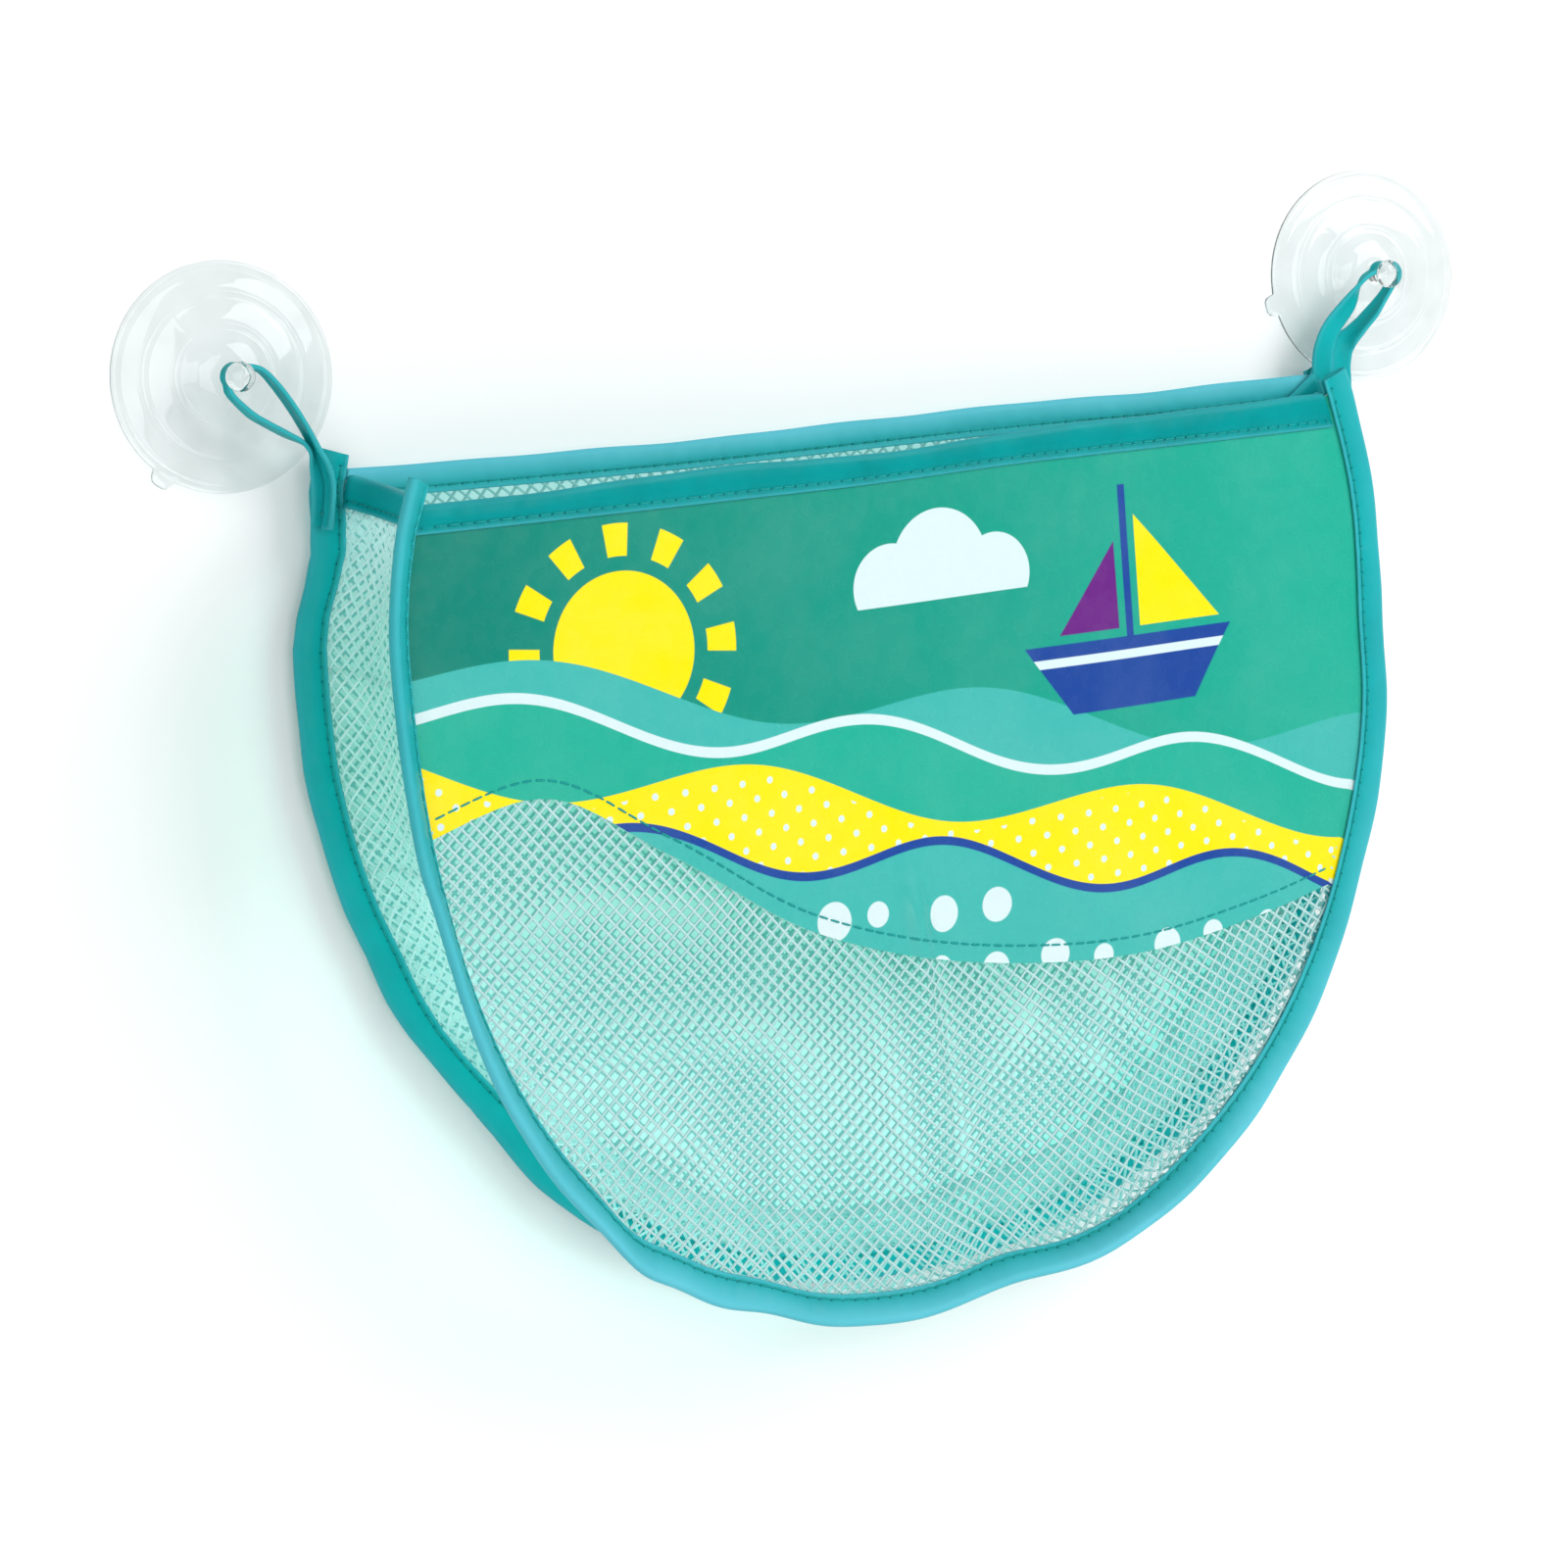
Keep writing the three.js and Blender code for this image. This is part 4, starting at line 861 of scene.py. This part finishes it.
def print_sheet():
    across = np.linspace(-1, 1, SHEET_COLUMNS)
    down = np.linspace(0.008, 1, SHEET_ROWS)[:, None]
    u = across * HALF_WIDTH + 0 * down
    for _ in range(FIT_ROUNDS):
        v = down * hem_height(u)
        u = across * half_width(v)
    lip = np.array([NET_LIP, NET_LIP * 0.66, NET_LIP * 0.33, 0.8])
    flat = FRONT.place(u, v, front_billow(u, v) + SHEET_THICKNESS / 2)
    s_left, s_right = (seam_distance(u[:, k], v[:, k])[1][:, None] for k in (0, -1))
    left = FRONT.on_flange(s_left, lip, LIP_LAYER)
    right = FRONT.on_flange(s_right, lip[::-1], LIP_LAYER)
    front = np.concatenate([left, flat, right], 1)
    u = np.concatenate([u[:, :1] - lip, u, u[:, -1:] + lip[::-1]], 1)
    v = np.concatenate([np.repeat(v[:, :1], 4, 1), v, np.repeat(v[:, -1:], 4, 1)], 1)
    rows, columns = u.shape
    out = unit(np.cross(np.gradient(front, axis=1), np.gradient(front, axis=0)))
    back = front - out * SHEET_THICKNESS * np.sign(np.sum(out * (0, -1, 0)))
    face, reverse = (stacked(u, v, level) for level in (0.0, 1.0))
    rim = np.concatenate([
        np.arange(columns), np.arange(1, rows) * columns + columns - 1,
        (rows - 1) * columns + np.arange(columns - 2, -1, -1), np.arange(rows - 2, 0, -1) * columns,
    ])
    at_rim = lambda *layers: np.stack([layer.reshape(-1, 3)[rim] for layer in layers], 1)
    edge, edge_places = at_rim(front, back), at_rim(reverse, reverse)
    turn = np.arange(len(rim))
    after = (turn + 1) % len(rim)
    edge_faces = np.stack([turn * 2, turn * 2 + 1, after * 2 + 1, after * 2], -1)
    parts = [(front, grid_faces(rows, columns), face), (back, grid_faces(rows, columns, flip=True), reverse),
             (edge, edge_faces, edge_places)]
    return joined("printed_sheet", parts, PRINTED)


sheet = finished(print_sheet(), "bag_front", "print_panel")


# Gusset: one strip of net, folded into the bag on the right

FOLD_STEPS, HALVINGS = 28, 40
FOLD_SINK, SINK_REACH = 8.0, 70
GUSSET_PARTS, GUSSET_STATIONS, GUSSET_STEPS = 12, 420, 64
GUSSET_END_TRIM = 3.0
GUSSET_LIPS = np.array([NET_LIP, 3.0, 1.2])


def fold_lines(s):
    """The strip's line from the back seam to the front seam at each place along the seam."""
    back, front = (panel.at_seam(s, GUSSET_SEAM_OUT, -LEAF_OFFSET) for panel in (BACK, FRONT))
    _, normal = seam_at(s)
    inward = stacked(-normal[..., 0], 0, -normal[..., 1])
    t = (1 - np.cos(np.pi * np.arange(FOLD_STEPS + 1) / FOLD_STEPS)) / 2
    share = 1 - np.abs(2 * t - 1) ** FOLD_POWER
    chord = np.linalg.norm(front - back, axis=-1)[:, None]
    low, high = np.zeros_like(chord), np.full_like(chord, GUSSET_WIDTH)
    for _ in range(HALVINGS):
        depth = (low + high) / 2
        length = np.hypot(chord * np.diff(t), depth * np.diff(share)).sum(-1, keepdims=True)
        short = length < GUSSET_WIDTH - 2 * LEAF_OFFSET
        low, high = np.where(short, depth, low), np.where(short, high, depth)
    depth = (low + high) / 2
    sink = FOLD_SINK * smooth(SINK_REACH, 0, SEAM_LENGTH - s)[:, None] * share
    straight = back[:, None] + (front - back)[:, None] * t[:, None]
    return straight + inward[:, None] * (depth * share)[..., None] - stacked(0, 0, sink)


gusset_s = np.linspace(0, SEAM_LENGTH, GUSSET_STATIONS)
back_lip = BACK.on_flange(gusset_s[:, None], GUSSET_LIPS, -LIP_LAYER)
front_lip = FRONT.on_flange(gusset_s[:, None], GUSSET_LIPS[::-1], -LIP_LAYER)
gusset_lines = np.concatenate([back_lip, fold_lines(gusset_s), front_lip], 1)
GUSSET_GRID = np.stack([evenly(line, GUSSET_STEPS) for line in gusset_lines])
GUSSET_ACROSS = float(np.mean([lengths(line)[-1] for line in gusset_lines]))


def gusset_point(s, t):
    """A point of the strip, s along the seam and t across it."""
    x = np.clip(s / SEAM_LENGTH * (GUSSET_STATIONS - 1), 0, GUSSET_STATIONS - 1.001)
    y = np.clip(t / GUSSET_ACROSS * (GUSSET_STEPS - 1), 0, GUSSET_STEPS - 1.001)
    i, j = x.astype(int), y.astype(int)
    fx, fy = (x - i)[..., None], (y - j)[..., None]
    near = GUSSET_GRID[i, j] * (1 - fy) + GUSSET_GRID[i, j + 1] * fy
    far = GUSSET_GRID[i + 1, j] * (1 - fy) + GUSSET_GRID[i + 1, j + 1] * fy
    return near * (1 - fx) + far * fx


def gusset_part(s, t):
    return np.clip((s / SEAM_LENGTH * GUSSET_PARTS).astype(int), 0, GUSSET_PARTS - 1)


def metres(point):
    return tuple(float(c) * MM for c in point)


def blended(made, s, node):
    """A piece that follows the back at one edge and the front at the other; hides its CAD part and bakes its
    place into its mesh.
    """
    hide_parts(node)
    near = np.array([s - 1.0, s + 1.0])
    edges = [panel.at_seam(near, GUSSET_SEAM_OUT, -LEAF_OFFSET) for panel in (BACK, FRONT)]
    start, end = (edge.mean(0) for edge in edges)
    run = unit(sum(edge[1] - edge[0] for edge in edges))
    slant = run * ((end - start) @ run) / 2
    metres(start + slant)
    metres(end - slant)
    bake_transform(made)


gusset_parts = strand_net(
    "gusset_mesh", ((0, 0), (SEAM_LENGTH, GUSSET_ACROSS)), gusset_point,
    lambda s, t: (s > GUSSET_END_TRIM) & (s < SEAM_LENGTH - GUSSET_END_TRIM),
    SIDE_NET, GUSSET_TURN, gusset_part)
part_length = SEAM_LENGTH / GUSSET_PARTS
for k, made in enumerate(gusset_parts):
    blended(made, (k + 0.5) * part_length, "gusset_net")


# Bindings and their stitches

EDGE_STATIONS, TOP_STATIONS, END_STATIONS = 900, 420, 120
TOP_ROW = (-HALF_TOP + 4, HALF_TOP - 4)
END_STEP, END_TUCK, END_TILT = 8.0, (1.3, -1.9), (-2.4, 3.3)
HEM_END_GAP = 2.5


def both_faces(name, along, place, normal):
    """Stitches on both faces of a tape, as one piece."""
    rows = [stitches(along, lambda s: place(s, face), lambda s: normal(s, face)) for face in (1, -1)]
    return joined(name, rows, THREAD)


def edge_binding(panel, phase, standup, material):
    s = np.linspace(-standup[0], SEAM_LENGTH + standup[1], EDGE_STATIONS)
    p, q = (column + 0 * s[:, None] for column in tape_ring(EDGE_HALF, EDGE_STITCH, EDGE_PINCH).T)
    needle = needle_phase(s, (0.0, SEAM_LENGTH))[:, None]
    pucker = wander(s, (9.3, 14.1, 6.1), phase)[:, None]
    open_end = np.exp(-np.minimum(s - s[0], s[-1] - s) / 7.0)[:, None]
    q = q * needle_pull(needle, p, EDGE_STITCH) * (1 + 0.12 * pucker * hump(p, 5, 4))
    q = q * (1 + 0.35 * open_end * (1 - p / BINDING_WIDTH))
    sway = 0.5 * wander(s, (61.0, 97.0, 143.0), phase * 1.7)[:, None] * (p / BINDING_WIDTH) ** 1.5
    reach = p + 0.35 * wander(s, (37.0, 71.0), phase * 2.3)[:, None] * p / BINDING_WIDTH
    rings = panel.on_flange(s[:, None], BINDING_START + reach, q + sway)
    places = stacked(s[:, None], p, needle)
    made = swept(f"{panel.word}_edge_tape", rings, material, places)
    finished(made, panel.body, f"{panel.word}_edge_binding")


def edge_stitches(panel):
    height = EDGE_HALF - EDGE_PINCH
    lifted = lambda s, face, lift: panel.on_flange(s, BINDING_START + EDGE_STITCH, face * (height + lift))
    place = lambda s, face: lifted(s, face, 0)
    normal = lambda s, face: unit(lifted(s, face, 1) - place(s, face))
    made = both_faces(f"{panel.word}_edge_stitches", (0.0, SEAM_LENGTH), place, normal)
    finished(made, panel.body, f"{panel.word}_edge_seam_thread")


def top_binding(panel, phase, reach, material):
    share = np.linspace(-1, 1, TOP_STATIONS)[:, None]
    p, q = (column + 0 * share for column in tape_ring(TOP_HALF, TOP_STITCH, TOP_PINCH).T)
    v = p - BINDING_WIDTH
    u = share * (half_width(v) + reach)
    needle = needle_phase(u, TOP_ROW)
    pucker = wander(u, (11.0, 17.0, 7.3), phase)
    q = q * needle_pull(needle, p, TOP_STITCH) * (1 + 0.16 * pucker * hump(p, 5, 4))
    v = v + 0.3 * wander(u, (47.0, 83.0), phase * 2) * p / BINDING_WIDTH
    sway = 0.9 * wander(u, (90.0, 140.0, 210.0), phase * 1.4) * smooth(0, 12, HALF_TOP - np.abs(u))
    rings = panel.place(u, v, q + sway * p / BINDING_WIDTH + panel.billow(u, v))
    made = swept(f"{panel.word}_top_tape", rings, material, stacked(u, p, needle))
    finished(made, panel.body, f"{panel.word}_top_binding")


def top_stitches(panel):
    v = TOP_STITCH - BINDING_WIDTH
    place = lambda u, face: panel.place(u, v, face * (TOP_HALF - TOP_PINCH) + panel.billow(u, v + 0 * u))
    lifted = lambda u, face, lift: panel.place(u, v, face * (TOP_HALF + lift))
    normal = lambda u, face: unit(lifted(u, face, 1) - lifted(u, face, 0))
    made = both_faces(f"{panel.word}_top_stitches", TOP_ROW, place, normal)
    finished(made, panel.body, f"{panel.word}_top_seam_thread")


def hem_stitches():
    line = HEM + (0, HEM_STITCH)
    line = line[np.abs(line[:, 0]) < half_width(line[:, 1]) - HEM_END_GAP]
    along = lengths(line)
    out = FRONT.turn @ np.array([0.0, -1.0, 0.0])

    def place(s):
        u, v = np.moveaxis(followed(line, along, s), -1, 0)
        return FRONT.place(u, v, front_billow(u, v) + SHEET_THICKNESS / 2)

    row = stitches((0.0, along[-1]), place, lambda s: np.broadcast_to(out, (*s.shape, 3)))
    finished(joined("hem_stitches", [row], THREAD), "bag_front", "hem_seam_thread")


def gusset_top(word, seam_end, next_s, tilt):
    """The binding over one upper end of the gusset strip."""
    s = np.array([seam_end, next_s])
    back, front = (panel.at_seam(s, *END_TUCK)[:, None] for panel in (BACK, FRONT))
    lines = np.concatenate([back, fold_lines(s), front], 1)
    rise = np.linspace(*tilt, END_STATIONS)[:, None] * (0, 0, 1)
    top, below = (evenly(line, END_STATIONS) + rise for line in lines)
    down = unit(below - top)
    out = unit(np.cross(down, unit(np.gradient(top, axis=0))))
    ring = tape_ring(TOP_HALF, TOP_STITCH, TOP_PINCH)
    keep = slice(1, -1)
    h, q = ring[:, 0] - BINDING_WIDTH, ring[:, 1]
    rings = top[keep, None] - down[keep, None] * h[:, None] + out[keep, None] * q[:, None]
    along = lengths(top)
    row = (along[4], along[-5])
    needle = needle_phase(along[keep, None], row)
    places = stacked(along[keep, None], ring[:, 0], needle)
    made = swept(f"gusset_top_tape_{word}", rings, PLAIN_TAPE, places)
    blended(made, seam_end, f"gusset_top_binding_{word}")
    normal = lambda a, face: unit(followed(out, along, a)) * face
    middle = lambda a: followed(top, along, a) + unit(followed(down, along, a)) * (BINDING_WIDTH - TOP_STITCH)
    place = lambda a, face: middle(a) + normal(a, face) * (TOP_HALF - TOP_PINCH)
    made = both_faces(f"gusset_top_stitches_{word}", row, place, normal)
    blended(made, seam_end, f"gusset_seam_thread_{word}")


edge_binding(BACK, phase=1.3, standup=(BINDING_STANDUP, 0.5), material=PLAIN_TAPE)
edge_binding(FRONT, phase=2.9, standup=(BINDING_STANDUP + 2.5, BINDING_STANDUP), material=FRONT_EDGE_TAPE)
edge_stitches(BACK)
edge_stitches(FRONT)
top_binding(BACK, phase=0.7, reach=1.3, material=BACK_TOP_TAPE)
top_binding(FRONT, phase=2.1, reach=0.1, material=FRONT_TOP_TAPE)
top_stitches(BACK)
top_stitches(FRONT)
hem_stitches()
gusset_top("left", 0.0, END_STEP, END_TILT)
gusset_top("right", SEAM_LENGTH, SEAM_LENGTH - END_STEP, (0, 0))


# Hanging loops

LOOP_POINTS, LOOP_STATIONS, WRAP_POINTS = 1600, 260, 6
KNOB_Y = -15.2
WRAP_WIDTH, WRAP_REACH = 5.2, (5, 16)
# Each strap's way up to its knob and down again: points, and the turn of its flat side in degrees
LEFT_RISE = (
    (-190.2, -18.6, -51.4, 90), (-188.2, -18.6, -40.8, 90), (-187.9, -18.5, -35.4, 90),
    (-189.0, -18.2, -30.1, 90), (-191.1, -17.6, -25.4, 90), (-193.8, -16.8, -18.9, 90),
    (-197.4, -16.0, -11.5, 90), (-202.4, -15.5, -3.5, 90), (-207.0, -15.2, 1.7, 90),
)
LEFT_FALL = (
    (-217.9, -15.2, -4.8, 90), (-215.4, -15.3, -8.2, 90), (-211.2, -15.4, -12.5, 90),
    (-206.9, -15.4, -15.5, 90), (-200.3, -15.4, -19.6, 90), (-194.6, -14.9, -23.0, 75),
    (-190.4, -14.0, -27.4, 38), (-188.6, -13.5, -33.5, 8), (-188.5, -13.4, -40.6, 0),
    (-189.8, -13.4, -50.4, 0),
)
RIGHT_RISE = (
    (188.3, -13.6, -49.9, 0), (188.4, -13.6, -36.7, 0), (188.5, -13.6, -29.7, 0), (189.7, -13.9, -23.5, 4),
    (193.3, -14.3, -16.8, 10), (200.7, -14.8, -9.1, 22), (206.8, -15.2, -1.2, 72),
)
RIGHT_FALL = (
    (217.2, -15.2, -4.7, 98), (209.3, -14.9, -13.3, 108), (202.5, -14.6, -19.0, 125),
    (197.6, -14.0, -23.5, 155), (196.1, -13.6, -29.7, 175), (196.0, -13.4, -36.0, 180),
    (195.5, -13.4, -50.6, 180),
)
LEFT_WRAP, RIGHT_WRAP = (62, 215), (160, -12)
# Half of the strap's section, with a raised hem along both edges: place across, and height
STRAP_HALF = np.array([
    (-1, 0), (-0.96, 0.6), (-0.85, 0.95), (-0.55, 0.85), (-0.2, 0.62), (0, 0.55), (0.2, 0.62),
    (0.55, 0.9), (0.85, 1.0), (0.96, 0.7),
])


def hanging_loop(word, side, rise, angles, fall):
    radius = NECK_RADIUS + STRAP_GAP + STRAP_THICKNESS / 2
    around = np.radians(np.linspace(*angles, WRAP_POINTS))
    wrap = [(side * CUP_X + radius * math.cos(a), KNOB_Y, radius * math.sin(a), 90) for a in around]
    line = evenly(catmull([*rise, *wrap, *fall], LOOP_POINTS), LOOP_STATIONS)
    path, turn = line[:, :3], np.radians(line[:, 3])
    tangent = unit(np.gradient(path, axis=0))
    wide = stacked(np.cos(turn), np.sin(turn), 0)
    wide = unit(wide - tangent * (wide * tangent).sum(-1, keepdims=True))
    thin = np.cross(tangent, wide)
    from_knob = np.linalg.norm(path - (side * CUP_X, KNOB_Y, 0.0), axis=-1)
    half_w = (WRAP_WIDTH + (STRAP_WIDTH - WRAP_WIDTH) * smooth(*WRAP_REACH, from_knob))[:, None, None] / 2
    section = np.vstack([STRAP_HALF, [(1, 0)], (STRAP_HALF * (1, -1))[::-1][:-1]])
    rings = path[:, None] + wide[:, None] * section[:, :1] * half_w
    rings = rings + thin[:, None] * (section[:, 1:] * STRAP_THICKNESS / 2)
    # Across runs from 5 in the middle to 11 at the edges, so the tape's painted fold highlight lights the
    # strap's edges
    places = stacked(lengths(path)[:, None], np.abs(section[:, 0]) * 6 + 5, 0.5)
    made = swept(f"{word}_strap", rings, PLAIN_TAPE, places)
    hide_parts(f"{word}_hanging_loop")
    metres((side * CUP_X, KNOB_Y, -NECK_RADIUS))
    metres(path[8])
    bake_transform(made)


def bar_tack(word, tail, edgewise):
    """Rows of thread across a strap's tail, from its last two points; edgewise if its edge faces out."""
    tail = np.array(tail)[:, :3]
    along = unit(tail[0] - tail[1])
    depth = np.array([0.0, -1.0, 0.0])
    across = np.cross(along, depth)
    wide, out = (depth, across) if edgewise else (-across, depth)
    share = (-BAG_DROP - TACK_DROP - tail[1, 2]) / (tail[0, 2] - tail[1, 2])
    centre = tail[1] + (tail[0] - tail[1]) * share + out * (STRAP_THICKNESS / 2)
    half = STRAP_WIDTH / 2 - 1.0
    normal = lambda s: np.broadcast_to(out, (*s.shape, 3))
    place = lambda s, row: centre + along * row + wide * s[..., None]
    rows = [
        stitches((-half, half), lambda s: place(s, row), normal, TACK_RADIUS, TACK_PITCH)
        for row in TACK_ROWS
    ]
    finished(joined(f"{word}_bar_tack", rows, THREAD), "bag_back", f"{word}_loop_bar_tack")


hanging_loop("left", -1, LEFT_RISE, LEFT_WRAP, LEFT_FALL)
bar_tack("left", (LEFT_FALL[-1], LEFT_FALL[-2]), True)
hanging_loop("right", 1, RIGHT_RISE, RIGHT_WRAP, RIGHT_FALL)
bar_tack("right", RIGHT_RISE[:2], False)


# The hem's line, and the parts of the seam below and above it


hem_line = HEM[np.abs(HEM[:, 0]) < HALF_WIDTH]
seam_below = SEAM[SEAM[:, 1] < hem_height(SEAM[:, 0]) + HEM_OVERLAP]
seam_above = SEAM[SEAM[:, 1] > hem_height(SEAM[:, 0])]


# Studio

FLOOR_Z, REACH, WALL_Y = -620.0, 2600.0, 0.3
WORLD_LIGHT = 0.22
LIGHT_AIM = (0, -0.03, -0.17)
WALL = wall_material()


def plane(name, near, far):
    """A rectangle as wide as the studio, from one depth and height to another."""
    corners = [(-REACH, *near), (REACH, *near), (REACH, *far), (-REACH, *far)]
    mesh_piece(name, corners, [(0, 1, 2, 3)], WALL)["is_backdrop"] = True


def set_up(name, held, right, up, back, spot):
    """A lamp or camera at a spot, in metres, that looks away from back."""
    made = bpy.data.objects.new(name, held)
    made.matrix_world = Matrix([*np.column_stack([right, up, back, spot]).tolist(), (0, 0, 0, 1)])
    bpy.context.scene.collection.objects.link(made)
    return made


def area_light(name, spot, size, power):
    lamp = bpy.data.lights.new(name, "AREA")
    lamp.shape = "RECTANGLE"
    lamp.size, lamp.size_y = size
    lamp.energy = power
    back = unit(np.subtract(spot, LIGHT_AIM))
    right = unit(np.cross((0.0, 0.0, 1.0), back))
    return set_up(name, lamp, right, np.cross(back, right), back, spot)


def camera():
    cos, sin = math.cos, math.sin
    level_reach = cos(CAMERA_RISE)
    back = np.array([-sin(CAMERA_YAW) * level_reach, -cos(CAMERA_YAW) * level_reach, sin(CAMERA_RISE)])
    level = unit(np.cross(-back, (0.0, 0.0, 1.0)))
    upright = np.cross(level, -back)
    right = cos(CAMERA_ROLL) * level + sin(CAMERA_ROLL) * upright
    up = -sin(CAMERA_ROLL) * level + cos(CAMERA_ROLL) * upright
    lens = bpy.data.cameras.new("camera")
    lens.sensor_width, lens.lens, lens.clip_start = 36.0, CAMERA_LENS, 0.05
    return set_up("camera", lens, right, up, back, (np.array(CAMERA_AIM) + CAMERA_DISTANCE * back) * MM)


plane("studio_wall", (WALL_Y, FLOOR_Z), (WALL_Y, REACH))
plane("studio_floor", (-REACH, FLOOR_Z), (WALL_Y, FLOOR_Z))
area_light("key", spot=(1.2, -1.5, 0.75), size=(1.3, 1.3), power=28)
area_light("fill", spot=(-1.6, -1.9, 0.4), size=(1.2, 1.2), power=11.5)
front_lamp = area_light("front", spot=(-0.3, -2.4, 0.1), size=(1.4, 1.2), power=18)
front_lamp.visible_transmission = False

scene = bpy.context.scene
scene.world = bpy.data.worlds.new("studio")
scene.world.use_nodes = True
background = scene.world.node_tree.nodes["Background"].inputs
background["Color"].default_value = (1.0, 1.0, 1.0, 1.0)
background["Strength"].default_value = WORLD_LIGHT
scene.view_settings.view_transform = "Standard"
scene.view_settings.look = "None"
scene.camera = camera()

[[list(map(float, corner)) for corner in box] for box in (CAD_BOX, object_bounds())]
